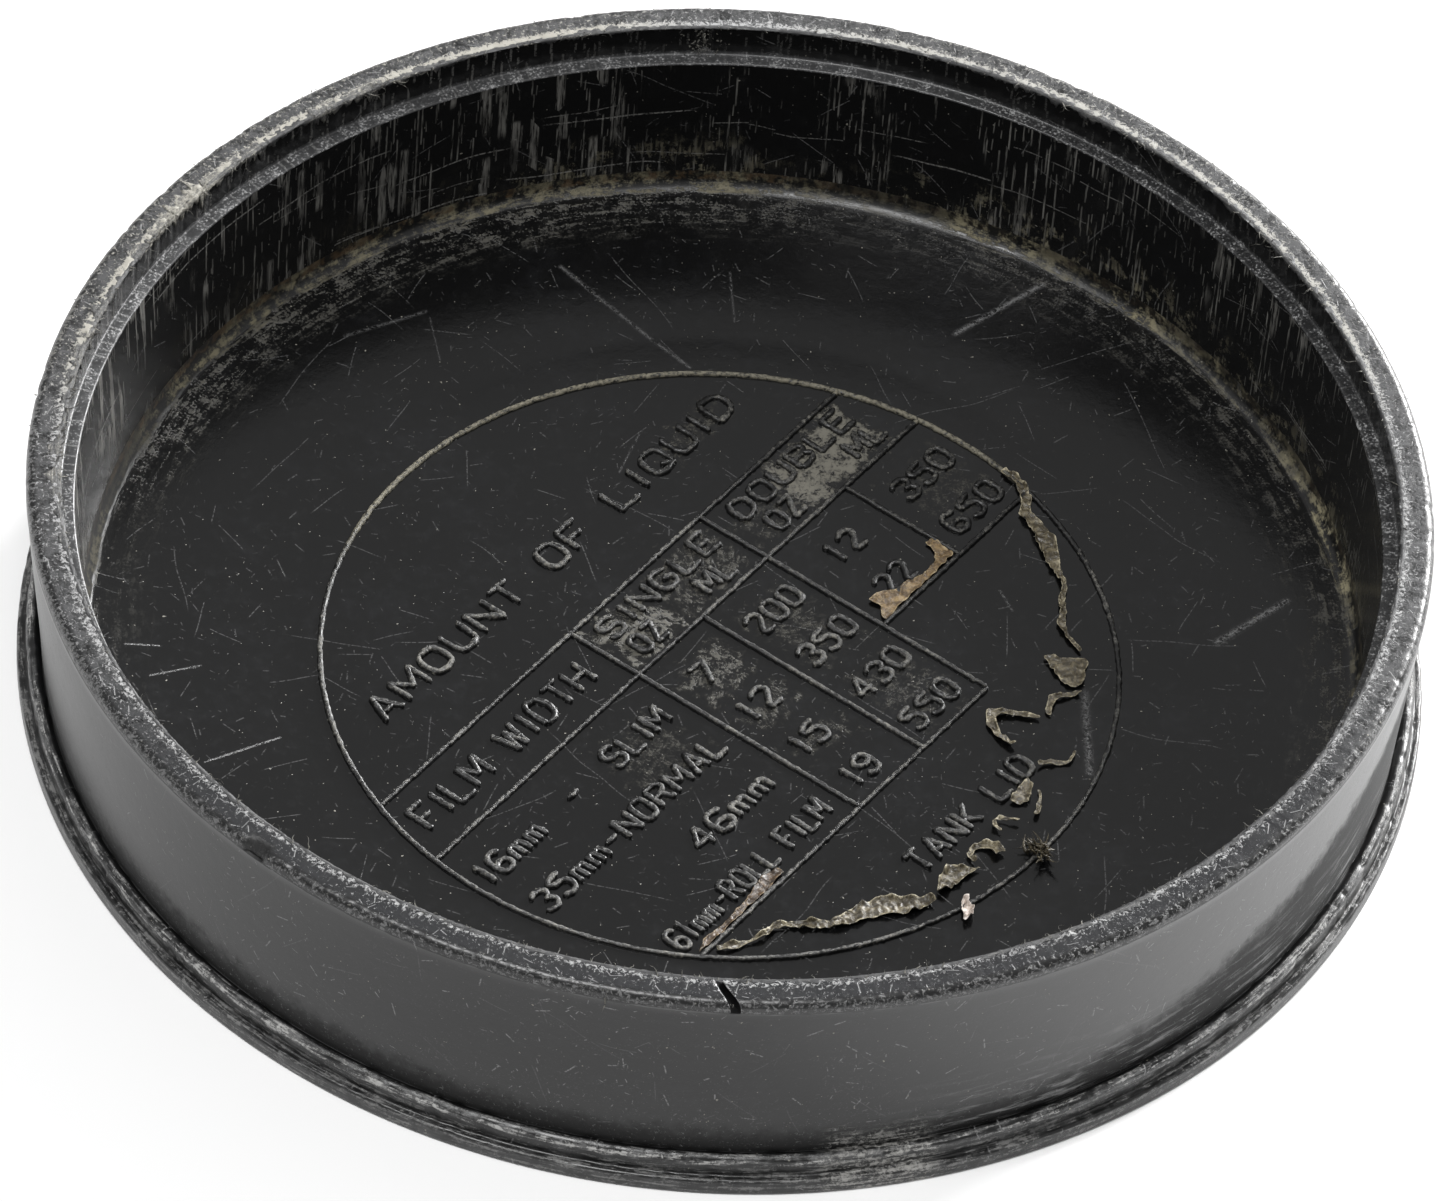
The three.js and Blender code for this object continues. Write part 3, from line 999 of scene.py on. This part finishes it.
class Coat:
    """Colour, roughness and relief of a surface, built up layer by layer."""

    def __init__(self, graph, colour, roughness):
        self.graph = graph
        self.colour = colour
        self.roughness = roughness
        self.relief = 0.0

    def lay(self, share, colour, roughness, rise=0.0):
        self.colour = self.graph.blend(share, self.colour, colour)
        self.roughness = self.graph.mix(share, self.roughness, roughness)
        if rise:
            self.relief = share * rise + self.relief

    def finish(self, depth, extra_relief=0.0, ior=1.57):
        graph = self.graph
        shader = graph.add("BsdfPrincipled")
        graph.link(self.colour, shader.inputs["Base Color"])
        graph.link(self.roughness, shader.inputs["Roughness"])
        shader.inputs["IOR"].default_value = ior
        bump = graph.add("Bump")
        bump.inputs["Strength"].default_value = 1.0
        bump.inputs["Distance"].default_value = depth * MM
        graph.link(self.relief + extra_relief, bump.inputs["Height"])
        graph.link(bump.outputs[0], shader.inputs["Normal"])
        output = graph.add("OutputMaterial")
        graph.link(shader.outputs[0], output.inputs["Surface"])
        return graph.material


def grey(level, warmth=0.0):
    """A grey, warm towards yellow above 0 or cool towards blue below."""
    return (level * (1 + 0.25 * warmth), level * (1 + 0.08 * warmth), level * (1 - 0.45 * warmth), 1)


def scratches(graph, plane, size, length, width, chance, seed, heading=0.0, spread=math.pi, soft=0.6):
    """Straight scratches of random place, direction and length; at most one in each patch of the plane."""
    spot = graph.scaled(plane, (1 / size,) * 3, (seed * 1.7, seed * 3.1, 0))
    cells = graph.add("TexVoronoi", voronoi_dimensions="2D", feature="F1")
    cells.inputs["Scale"].default_value = 1.0
    graph.link(spot, cells.inputs["Vector"])
    dx, dy, _ = graph.parts(graph.vector("SUBTRACT", spot, cells.outputs["Position"]))
    first, second, third = graph.parts(cells.outputs["Color"])
    turn = first * spread + (heading - spread / 2)
    cos, sin = graph.math("COSINE", turn), graph.math("SINE", turn)
    along = abs(dx * cos + dy * sin)
    across = abs(dy * cos - dx * sin)
    reach = second * (0.7 * length / size / 2) + 0.3 * length / size / 2
    ends = graph.step(along / reach, 1.0, 0.7)
    sides = graph.step(across, width / size / 2, width / size / 2 * (1 - soft))
    chosen = graph.math("LESS_THAN", third, chance)
    return ends * sides * chosen


def stroke(graph, start, end, width, ragged):
    """One straight ragged mark on the floor of the lid, from one point to another."""
    start, end = np.array(start, float), np.array(end, float)
    length = float(np.linalg.norm(end - start))
    ux, uy = (end - start) / length
    dx, dy = graph.x - float(start[0]), graph.y - float(start[1])
    along = dx * float(ux) + dy * float(uy)
    beyond = graph.most(along * -1.0, along - length, 0.0)
    across = dy * float(ux) - dx * float(uy)
    away = graph.math("SQRT", beyond * beyond + across * across)
    return graph.step(away + ragged * width, width * 0.5, width * 0.1)


def sector(graph, bearing, middle, half, fade):
    """1 round an angle in degrees from +X, fading to 0 beyond half a width."""
    away = abs(graph.math("WRAP", bearing - math.radians(middle), math.pi, -math.pi))
    return graph.step(away, math.radians(half + fade), math.radians(half))


# Marks on the floor: start, end, width and strength, in millimetres from the lid's axis
FLOOR_MARKS = [
    ((17.3, 37.3), (24.3, 43.3), 0.75, 0.85),
    ((40.2, 4.6), (45.6, 9.3), 1.0, 0.8),
    ((-15.9, 41.1), (-4.5, 31.3), 0.6, 0.5),
    ((-40.4, -18.0), (-34.7, -14.2), 0.3, 0.6),
    ((-47.9, -6.1), (-45.1, -5.8), 0.3, 0.5),
    ((-45.6, -9.2), (-41.7, -7.4), 0.3, 0.5),
    ((-8.1, 23.3), (-9.5, 18.6), 0.3, 0.35),
    ((-1.8, 42.2), (-1.1, 36.9), 0.3, 0.4),
    ((22.3, 8.7), (23.4, 6.6), 0.3, 0.6),
    ((29.6, -1.9), (30.4, -10.6), 1.1, 0.35),
    ((-33.1, 30.9), (-26.7, 34.6), 0.5, 0.35),
    ((-26.3, 34.0), (-25.1, 29.5), 0.25, 0.35),
]


# Cells of the table with powder in them: left, right, low and high edge in the table's axes, and amount
POWDER_CELLS = [
    (-5.4, 2.0, 4.2, 10.8, 0.62),
    (2.0, 11.4, 4.2, 10.8, 0.38),
    (18.0, 29.5, 4.2, 10.8, 1.00),
    (12.2, 19.0, 4.2, 9.0, 0.28),
    (-4.6, 1.6, -3.0, 2.5, 0.42),
    (4.0, 10.4, -7.2, 2.0, 0.28),
    (-4.4, 1.4, -8.0, -4.5, 0.38),
    (-4.4, 1.4, -13.0, -9.5, 0.32),
    (3.8, 10.6, -18.0, -9.0, 0.28),
    (-16.0, -8.0, -6.8, 1.8, 0.26),
    (24.0, 31.0, -6.5, 2.0, 0.25),
    (14.0, 23.5, 16.0, 19.0, 0.40),
]


def table_axes(graph):
    """The table's own two coordinates on the floor."""
    cos, sin = math.cos(TABLE_ANGLE), math.sin(TABLE_ANGLE)
    x, y = graph.x, graph.y - TABLE_SHIFT_Y
    return x * cos + y * sin, y * cos - x * sin


def cell(graph, x, y, left, right, low, high, ragged):
    """1 inside a box of the plane and 0 outside, with ragged, fading sides."""
    across = abs(x - (left + right) / 2) - (right - left) / 2
    along = abs(y - (low + high) / 2) - (high - low) / 2
    return graph.step(graph.most(across, along) + ragged, 0.3, -1.4)


def noise_shift(graph, vector, scale):
    """A slow wandering offset, so that straight marks bend a little."""
    node = graph.add("TexNoise")
    graph.link(vector, node.inputs["Vector"])
    node.inputs["Scale"].default_value = scale
    node.inputs["Detail"].default_value = 1.0
    return graph.vector("SUBTRACT", node.outputs["Color"], (0.5, 0.5, 0.5))


class Wear:
    """The start of every worn plastic: its coordinates, its shared noises, haze, specks and scratches."""

    def __init__(self, name, haze=0.3, ticks=0.8, hairs=0.5, gloss=0.30):
        graph = self.graph = Graph(name)
        place, x, y = graph.place, graph.x, graph.y
        self.radius = graph.math("SQRT", x * x + y * y)
        self.bearing = graph.math("ARCTAN2", y, x)
        self.mottle = graph.noise(place, 0.8, 5, 0.65)
        self.fine = graph.noise(place, 4.5, 3, 0.6)
        self.coat = Coat(graph, grey(0.0018, -0.1), gloss)
        cloud = graph.noise(place, 0.09, 5, 0.6)
        drift = graph.step(cloud * 0.6 + self.mottle * 0.4, 0.48, 0.72)
        self.coat.lay(drift * haze, grey(0.014, -0.3), gloss + 0.08)
        self.coat.lay(graph.step(self.mottle, 0.52, 0.8) * 0.2, grey(0.014), gloss + 0.1)
        specks = graph.step(graph.noise(place, 3.4, 1, 0.4), 0.765, 0.80)
        self.coat.lay(specks * 0.75, grey(0.24, 0.3), 0.7, 0.5)
        self.strengths = (ticks, hairs)

    def sector(self, middle, half, fade):
        return sector(self.graph, self.bearing, middle, half, fade)

    def unroll(self, seam_at_back, size):
        """The wall's own plane: the way round and the height, with its seam at the front or the back."""
        graph = self.graph
        ahead = graph.y * -1.0 if seam_at_back else graph.y
        return graph.together(graph.math("ARCTAN2", graph.x, ahead) * size, graph.z, 0.0)

    def scratch(self, plane):
        """Lays ticks, hairlines and faint swirls; gives back the slightly wandering plane they lie in."""
        graph = self.graph
        bent = graph.vector("ADD", plane, graph.scaled(noise_shift(graph, graph.place, 0.12), (1.6, 1.6, 0)))
        ticks, hairs = self.strengths
        crowd = graph.step(graph.noise(graph.place, 0.16, 3, 0.6), 0.42, 0.62)
        marks = scratches(graph, bent, 0.8, 0.7, 0.12, 0.3, 4) * crowd * ticks
        marks = graph.most(marks, scratches(graph, bent, 1.9, 1.6, 0.16, 0.2, 1) * ticks)
        marks = graph.most(marks, scratches(graph, bent, 5.0, 5.5, 0.13, 0.5, 2) * hairs)
        marks = graph.most(marks, scratches(graph, bent, 11.0, 13.0, 0.14, 0.5, 3) * hairs * 0.8)
        self.coat.lay(marks * graph.step(self.fine, 0.35, 0.6), grey(0.30), 0.6, -0.5)
        return bent

    def finish(self):
        relief = self.graph.noise(self.graph.place, 9.0, 4) * 0.07 + self.mottle * 0.3
        return self.coat.finish(0.06, relief)


def lay_marks(wear):
    """The most visible marks on the floor, each in its own place."""
    graph = wear.graph
    chalk = graph.noise(graph.place, 2.6, 6, 0.8)
    ragged = graph.step(chalk, 0.35, 0.65) - 0.55
    marks = 0.0
    for start, end, width, strength in FLOOR_MARKS:
        marks = graph.most(stroke(graph, start, end, width, ragged) * strength, marks)
    wear.coat.lay(marks * graph.step(chalk, 0.44, 0.60), grey(0.36), 0.75, 0.4)


def lay_powder(wear):
    """Pale powder caught in the cells of the table."""
    graph = wear.graph
    table_x, table_y = table_axes(graph)
    clumps = graph.noise(graph.place, 1.1, 6, 0.75)
    ragged = (wear.mottle - 0.5) * 7.0
    powder = 0.0
    for left, right, low, high, amount in POWDER_CELLS:
        powder = graph.most(cell(graph, table_x, table_y, left, right, low, high, ragged) * amount, powder)
    powder = powder * graph.step(clumps * 0.7 + wear.fine * 0.3 + powder * 0.12, 0.50, 0.66)
    wear.coat.lay(powder, grey(0.13, 0.35), 0.8, 0.5)


def worn_floor():
    """The floor and its corner: hazy, scratched and chalky, with powder in the table and dirt at the edge."""
    wear = Wear("worn_floor_plastic", 0.3, 0.16, 0.2, 0.17)
    graph, coat, fine, mottle = wear.graph, wear.coat, wear.fine, wear.mottle
    wear.scratch(graph.place)
    lay_marks(wear)
    lay_powder(wear)
    bands = graph.noise(graph.together(wear.radius * 1.6, wear.bearing * 9.0, 0.0), 1.0, 6, 0.72)
    edge = graph.step(wear.radius + bands * 5 - 2.5, 45.5, 50.5)
    left_back = wear.sector(125, 28, 25)
    right_back = wear.sector(30, 34, 25)
    edge_weight = graph.most(left_back, right_back * 0.55, 0.25)
    dirty = graph.step(bands * 0.4 + mottle * 0.3 + fine * 0.3, 0.49, 0.60)
    coat.lay(edge * edge_weight * dirty * 0.8, grey(0.085, 0.3), 0.75, 0.5)
    grime = graph.step(graph.noise(graph.place, 1.2, 6, 0.75) * 0.5 + bands * 0.5, 0.47, 0.57)
    corner = graph.step(graph.z + (bands - 0.5) * 0.5, 3.0, 3.15)
    left_side = wear.sector(185, 32, 20)
    coat.lay(corner * graph.mix(left_side, 0.25, 0.95), grey(0.002), 0.95)
    stretches = graph.step(graph.noise(graph.place, 0.12, 3, 0.65), 0.40, 0.56)
    grime = grime * graph.mix(stretches, 0.25, 1.0)
    scum = corner * grime * graph.most(left_back * 0.6, right_back, 0.2)
    coat.lay(scum * 0.95, grey(0.20, 0.75), 0.85, 0.8)
    rust = graph.step(graph.z, 3.7, 3.95) * graph.step(mottle, 0.46, 0.6) * graph.most(left_back, 0.2)
    coat.lay(rust * 0.7, (0.075, 0.045, 0.018, 1), 0.7)
    return wear.finish()


def worn_wall():
    """The wall inside: upright scuffs in patches, scratches that run round it, and scum low down."""
    wear = Wear("worn_wall_plastic", 0.1, 0.15, 0.3, 0.22)
    graph, coat, fine, mottle = wear.graph, wear.coat, wear.fine, wear.mottle
    plane = wear.unroll(False, BORE_RADIUS)
    bent = wear.scratch(plane)
    upright = graph.together(graph.x, graph.y, graph.z * 0.10)
    fibre = graph.step(graph.noise(upright, 4.5, 4, 0.65), 0.36, 0.62)
    patches = graph.noise(graph.together(graph.x, graph.y, graph.z * 0.7), 0.11, 3, 0.6)
    left_back = wear.sector(128, 24, 16)
    left_back = graph.most(left_back, wear.sector(172, 16, 14) * 0.9)
    crowd = graph.step(patches + left_back * 0.10 - 0.05, 0.46, 0.60)
    tall = graph.scaled(plane, (1, 0.28, 0))
    short = graph.scaled(plane, (1, 0.5, 0))
    upward = math.pi / 2
    bars = scratches(graph, tall, 1.6, 2.8, 0.9, 0.5, 21, upward, 0.08, 0.35) * crowd
    narrow = scratches(graph, tall, 0.9, 1.5, 0.2, 0.40, 22, upward, 0.12, 0.5)
    narrow = graph.most(narrow, scratches(graph, short, 0.7, 1.2, 0.14, 0.30, 23, upward, 0.16, 0.5) * 0.8)
    bars = graph.most(bars, narrow * graph.step(patches, 0.40, 0.52) * 0.8)
    full = scratches(graph, graph.scaled(plane, (1, 0.13, 0)), 1.3, 2.6, 0.2, 0.36, 25, upward, 0.03, 0.4)
    bars = graph.most(bars, full * graph.step(patches, 0.42, 0.54))
    coat.lay(bars * fibre * 0.95, grey(0.165, 0.15), 0.72, 0.5)
    low = graph.step(graph.z + mottle * 5, 12.5, 7.0)
    blotch = graph.step(graph.noise(graph.place, 0.42, 6, 0.72), 0.52, 0.60)
    left_zone = wear.sector(102, 9, 5)
    middle_zone = wear.sector(62, 12, 6)
    right_zone = wear.sector(30, 24, 12)
    zone = graph.most(left_zone, middle_zone, right_zone * 0.6, 0.15)
    coat.lay(low * blotch * zone * fibre * 0.9, grey(0.17, 0.6), 0.8, 0.5)
    rust = graph.step(graph.z + mottle * 1.5, 5.3, 4.9) * graph.step(fine * 0.5 + mottle * 0.5, 0.42, 0.56)
    coat.lay(rust * graph.most(zone, left_back) * 0.8, (0.07, 0.04, 0.016, 1), 0.7)
    rounds = scratches(graph, bent, 14.0, 26.0, 0.2, 0.85, 5, 0.0, 0.25)
    rounds = graph.most(rounds, scratches(graph, bent, 7.0, 13.0, 0.14, 0.7, 6, 0.0, 0.2) * 0.7)
    coat.lay(rounds * graph.step(fine, 0.35, 0.6) * 0.8, grey(0.22, 0.1), 0.6, -0.5)
    return wear.finish()


def worn_ledge():
    """The rebate and the ledge under it: short upright tears below the rim, and a rubbed grey ledge."""
    wear = Wear("worn_ledge_plastic", 0.1, 0.15, 0.3, 0.22)
    graph, coat, fine, mottle = wear.graph, wear.coat, wear.fine, wear.mottle
    plane = wear.unroll(False, BORE_RADIUS)
    wear.scratch(plane)
    left_back = graph.most(wear.sector(145, 30, 16), 0.3)
    drawn_up = graph.scaled(plane, (1, 0.45, 0))
    tears = scratches(graph, drawn_up, 0.8, 1.3, 0.26, 0.6, 26, math.pi / 2, 0.1, 0.5)
    coat.lay(tears * left_back * graph.step(fine, 0.35, 0.6) * 0.8, grey(0.14, 0.1), 0.7, 0.5)
    right_side = wear.sector(20, 45, 15)
    shelf = graph.step(graph.z, LEDGE + 0.5, LEDGE + 0.1)
    share = graph.mix(graph.step(mottle * 0.6 + fine * 0.4, 0.38, 0.62), 0.45, 0.9)
    coat.lay(shelf * share * graph.mix(right_side, 0.8, 0.35), grey(0.085, -0.05), 0.5, 0.2)
    coat.lay(shelf * graph.step(fine * 0.6 + mottle * 0.4, 0.53, 0.62), grey(0.28), 0.6, 0.4)
    return wear.finish()


def worn_rim():
    """The rim: ground grey, with pale flecks towards both its edges, and painted shade in the gouge."""
    wear = Wear("worn_rim_plastic")
    graph, coat, fine, mottle = wear.graph, wear.coat, wear.fine, wear.mottle
    radius = graph.attribute("nominal_radius")
    front = wear.sector(275, 45, 30)
    rim_grey = graph.blend(front, grey(0.055, -0.05), grey(0.017, -0.15))
    face = graph.step(radius + mottle * 0.8, 55.95, 55.5)
    coat.lay(graph.step(mottle * 0.6 + fine * 0.4, 0.36, 0.60) * face * 0.9, rim_grey, 0.45, 0.3)
    coat.lay(front * face * 0.85, grey(0.02, -0.15), 0.2)
    flecks = graph.noise(graph.place, 3.0, 5, 0.75, 0.6)
    left_tear = wear.sector(138, 30, 14)
    right_tear = wear.sector(52, 26, 14)
    torn_zone = graph.most(left_tear, right_tear * 0.7)
    to_edge = graph.step(radius, 54.5, 53.6) * (torn_zone * 0.9 + 0.95)
    to_edge = graph.most(to_edge, graph.step(radius, 55.0, 55.9) * 0.7)
    right = wear.sector(0, 30, 20)
    pale = graph.step(flecks + to_edge * 0.13 - front * 0.035 - right * 0.02, 0.56, 0.64)
    pale_grey = graph.blend(torn_zone, grey(0.33), grey(0.30, 0.25))
    coat.lay(pale * graph.mix(face, 0.35, 0.9), pale_grey, 0.7, 0.9)
    # Painted shade: the outer part of the gouge is coloured near-black.
    gouge = wear.sector(math.degrees(GOUGE_ANGLE), 1.0, 0.5)
    coat.lay(gouge * graph.step(radius, 54.6, 55.0) * 0.9, grey(0.002), 0.5)
    coat.lay(scratches(graph, graph.place, 1.3, 1.6, 0.1, 0.5, 9) * face * 0.6, grey(0.22), 0.6, -0.6)
    return wear.finish()


def worn_outside():
    """The outside: a smooth skirt with fine marks, rubbed lines along the bead and lip, drag marks, and
    painted shade low on the skirt.
    """
    wear = Wear("worn_outside_plastic", 0.3, 0.5, 0.12)
    graph, coat, mottle = wear.graph, wear.coat, wear.mottle
    plane = wear.unroll(True, FOOT_RADIUS)
    wear.scratch(plane)
    flecks = graph.noise(graph.place, 2.4, 5, 0.75, 0.6)
    edges = graph.attribute("edge_scuff") * graph.step(wear.radius, 55.5, 55.95)
    stretched = graph.scaled(plane, (0.3, 3.0, 0))
    outward = graph.together(0.0, 0.0, wear.radius * 3.0)
    run = graph.noise(graph.vector("ADD", stretched, outward), 1.0, 4, 0.65)
    rubbed = graph.step(run * 0.55 + mottle * 0.45, 0.44, 0.60)
    coat.lay(edges * rubbed * 0.8, grey(0.13), 0.5, 0.3)
    coat.lay(edges * graph.step(flecks * 0.45 + run * 0.55, 0.51, 0.59) * 0.95, grey(0.38, 0.05), 0.7, 0.7)
    skirt = graph.attribute("outside")
    line_height = abs(graph.z - (LID_HEIGHT - SEAM_DROP))
    coat.lay(graph.step(line_height, 0.09, 0.03) * graph.step(run, 0.42, 0.6) * 0.8, grey(0.09), 0.5)
    drag = graph.noise(graph.scaled(plane, (0.18, 1.4, 0)), 1.0, 5, 0.7)
    right_front = wear.sector(-33, 30, 12)
    # Painted shade: the skirt's lowest few millimetres, just above the bead, are dulled to near-black.
    shaded_foot = graph.step(graph.z, 4.9, 4.1) * skirt
    coat.lay(shaded_foot * 0.9, grey(0.0015), 0.75)
    # Painted shade: a near-black dull zone on the lower skirt from the front round to the right, reaching
    # higher towards the right.
    shade_top = graph.most((wear.bearing + 1.1) * 12.0, 0.8) + 3.5
    painted_shade_zone = graph.step(graph.z - shade_top + mottle * 4, 4.5, 1.5)
    painted_shade_zone = wear.sector(-60, 82, 25) * painted_shade_zone * skirt
    coat.lay(painted_shade_zone * 0.95, grey(0.002), 0.85)
    dust = graph.step(graph.noise(graph.place, 6.0, 2, 0.5), 0.58, 0.72)
    dust = dust * graph.step(drag, 0.44, 0.60) * skirt
    coat.lay(dust * 0.5, grey(0.07), 0.6)
    near_bead = graph.step(graph.z + mottle * 3, 13.0, 4.0) * skirt
    coat.lay(right_front * near_bead * graph.step(drag, 0.50, 0.66) * 0.65, grey(0.26), 0.7, 0.2)
    coat.lay(near_bead * graph.step(flecks, 0.60, 0.68) * 0.5, grey(0.3), 0.7, 0.4)
    smear = wear.sector(-74, 3, 2.5) * graph.step(graph.z + mottle * 5, 8.5, 5.0)
    coat.lay(smear * graph.step(flecks * 0.5 + run * 0.5, 0.46, 0.58) * 0.8, grey(0.34, 0.1), 0.8, 0.3)
    return wear.finish()


def worn_relief():
    """The raised table: the same plastic, rubbed pale on its tops, most of all the ring at the left back."""
    graph = Graph("worn_raised_plastic")
    place, x, y, z = graph.place, graph.x, graph.y, graph.z
    fine = graph.noise(place, 3.0, 5, 0.75)
    patch = graph.noise(place, 0.2, 3, 0.6)
    top = graph.step(z, FLOOR + 0.12, FLOOR + 0.28)
    coat = Coat(graph, grey(0.003), 0.34)
    coat.lay(graph.step(graph.noise(place, 0.9, 4), 0.5, 0.7) * 0.4, grey(0.02), 0.5)
    coat.lay(top * graph.step(fine + patch * 0.5, 0.72, 0.90) * 0.8, grey(0.13, 0.2), 0.6, 0.6)
    coat.lay(graph.step(fine + patch * 0.4, 0.80, 0.90) * 0.6, grey(0.22, 0.3), 0.7, 0.4)
    shifted = y - TABLE_SHIFT_Y
    ring = graph.step(graph.math("SQRT", x * x + shifted * shifted), RING_RADIUS - 0.6, RING_RADIUS - 0.4)
    bearing = graph.math("ARCTAN2", shifted, x)
    worn_arc = graph.most(sector(graph, bearing, 128, 26, 14), sector(graph, bearing, 75, 22, 12) * 0.8)
    coat.lay(ring * worn_arc * graph.step(fine, 0.38, 0.56) * 0.9, grey(0.24, 0.5), 0.7, 0.4)
    return coat.finish(0.05, graph.noise(place, 10.0, 3) * 0.5)


def torn_plastic():
    """Torn and frayed plastic, whitened in fibres that run round the rim, where it has been stretched."""
    graph = Graph("torn_plastic")
    x, y, z = graph.x, graph.y, graph.z
    pale = graph.attribute("pale")
    bearing = graph.math("ARCTAN2", y * -1.0, x * -1.0)
    radius = graph.math("SQRT", x * x + y * y)
    fibre = graph.noise(graph.together(bearing * 22.0, radius * 5.0, z * 4.0), 1.0, 5, 0.7)
    fine = graph.noise(graph.place, 4.0, 5, 0.75)
    coat = Coat(graph, grey(0.02, -0.1), 0.55)
    strands = fine * 0.4 + fibre * 0.6
    coat.lay(graph.step(pale * 0.25 + strands, 0.56, 0.74) * 0.85, grey(0.11, 0.1), 0.65, 0.5)
    coat.lay(graph.step(pale * 0.35 + strands, 0.73, 0.92), grey(0.26, 0.3), 0.7, 0.6)
    coat.lay(graph.step(fine * 0.5 + fibre * 0.5 + pale * 0.1, 0.64, 0.70) * 0.8, grey(0.45, 0.15), 0.8, 0.6)
    return coat.finish(0.06, graph.noise(graph.place, 14.0, 3) * 0.5)


def film(name, dark, light, pale):
    """Dried, wrinkled film: dark and glassy in the middle, paler on its ridges and along its torn edges."""
    graph = Graph(name)
    edge = graph.attribute("torn_edge")
    wrinkle = graph.noise(graph.scaled(graph.place, (1, 1, 0.4)), 1.6, 5, 0.7, 0.8)
    fine = graph.noise(graph.place, 6.0, 3, 0.6)
    coat = Coat(graph, dark, 0.32)
    coat.lay(graph.step(wrinkle, 0.42, 0.62) * 0.9, light, 0.36, 0.4)
    coat.lay(graph.step(wrinkle * 0.7 + fine * 0.3 + edge * 0.16, 0.58, 0.72) * 0.85, pale, 0.4, 0.3)
    return coat.finish(0.08, fine * 0.5)


# ---------------------------------------------------------------- the whole

make_camera()
make_light()
make_floor()
raised = worn_relief()
torn_skin = torn_plastic()
cream_film = film("dried_film", (0.042, 0.034, 0.021, 1), (0.16, 0.135, 0.085, 1), (0.46, 0.41, 0.29, 1))
amber_film = film("amber_film", (0.075, 0.046, 0.020, 1), (0.27, 0.185, 0.085, 1), (0.50, 0.40, 0.24, 1))
rust_film = film("brown_film", (0.028, 0.017, 0.009, 1), (0.085, 0.050, 0.024, 1), (0.22, 0.155, 0.085, 1))
pale_film = film("pale_film", (0.30, 0.24, 0.20, 1), (0.60, 0.52, 0.46, 1), (0.75, 0.68, 0.62, 1))
make_lid([worn_outside(), worn_rim(), worn_wall(), worn_floor(), worn_ledge()])
make_rules(raised)
make_letters(raised)
make_burr(torn_skin)
make_shreds(torn_skin)
# Each scrap's film, how far its edges lift and how much it is crumpled
SCRAP_FORMS = {
    "scrap_cell_edge": (amber_film, 0.2, 0.2),
    "scrap_right_ribbon": (cream_film, 0.4, 0.3),
    "scrap_right_patch": (cream_film, 0.3, 0.3),
    "scrap_right_tail": (cream_film, 0.35, 0.3),
    "scrap_chevron": (cream_film, 0.35, 0.3),
    "scrap_brown_strip": (rust_film, 0.25, 0.2),
    "scrap_lower_ribbon": (cream_film, 0.5, 0.35),
    "scrap_lower_patch": (cream_film, 0.6, 0.5),
    "scrap_arch": (cream_film, 0.5, 0.4),
    "scrap_curl": (cream_film, 0.5, 0.4),
    "scrap_word_patch": (cream_film, 0.5, 0.4),
    "scrap_word_tail": (cream_film, 0.4, 0.3),
    "scrap_thread": (cream_film, 0.3, 0.2),
    "scrap_fleck": (pale_film, 0.5, 0.5),
}
for scrap_name, (scrap_material, scrap_lift, scrap_crumple) in SCRAP_FORMS.items():
    scrap_slot = "brown_film" if scrap_name == "scrap_brown_strip" else "dried_film"
    make_scrap(scrap_name, scrap_material, scrap_lift, scrap_crumple)
make_tuft(cream_film)
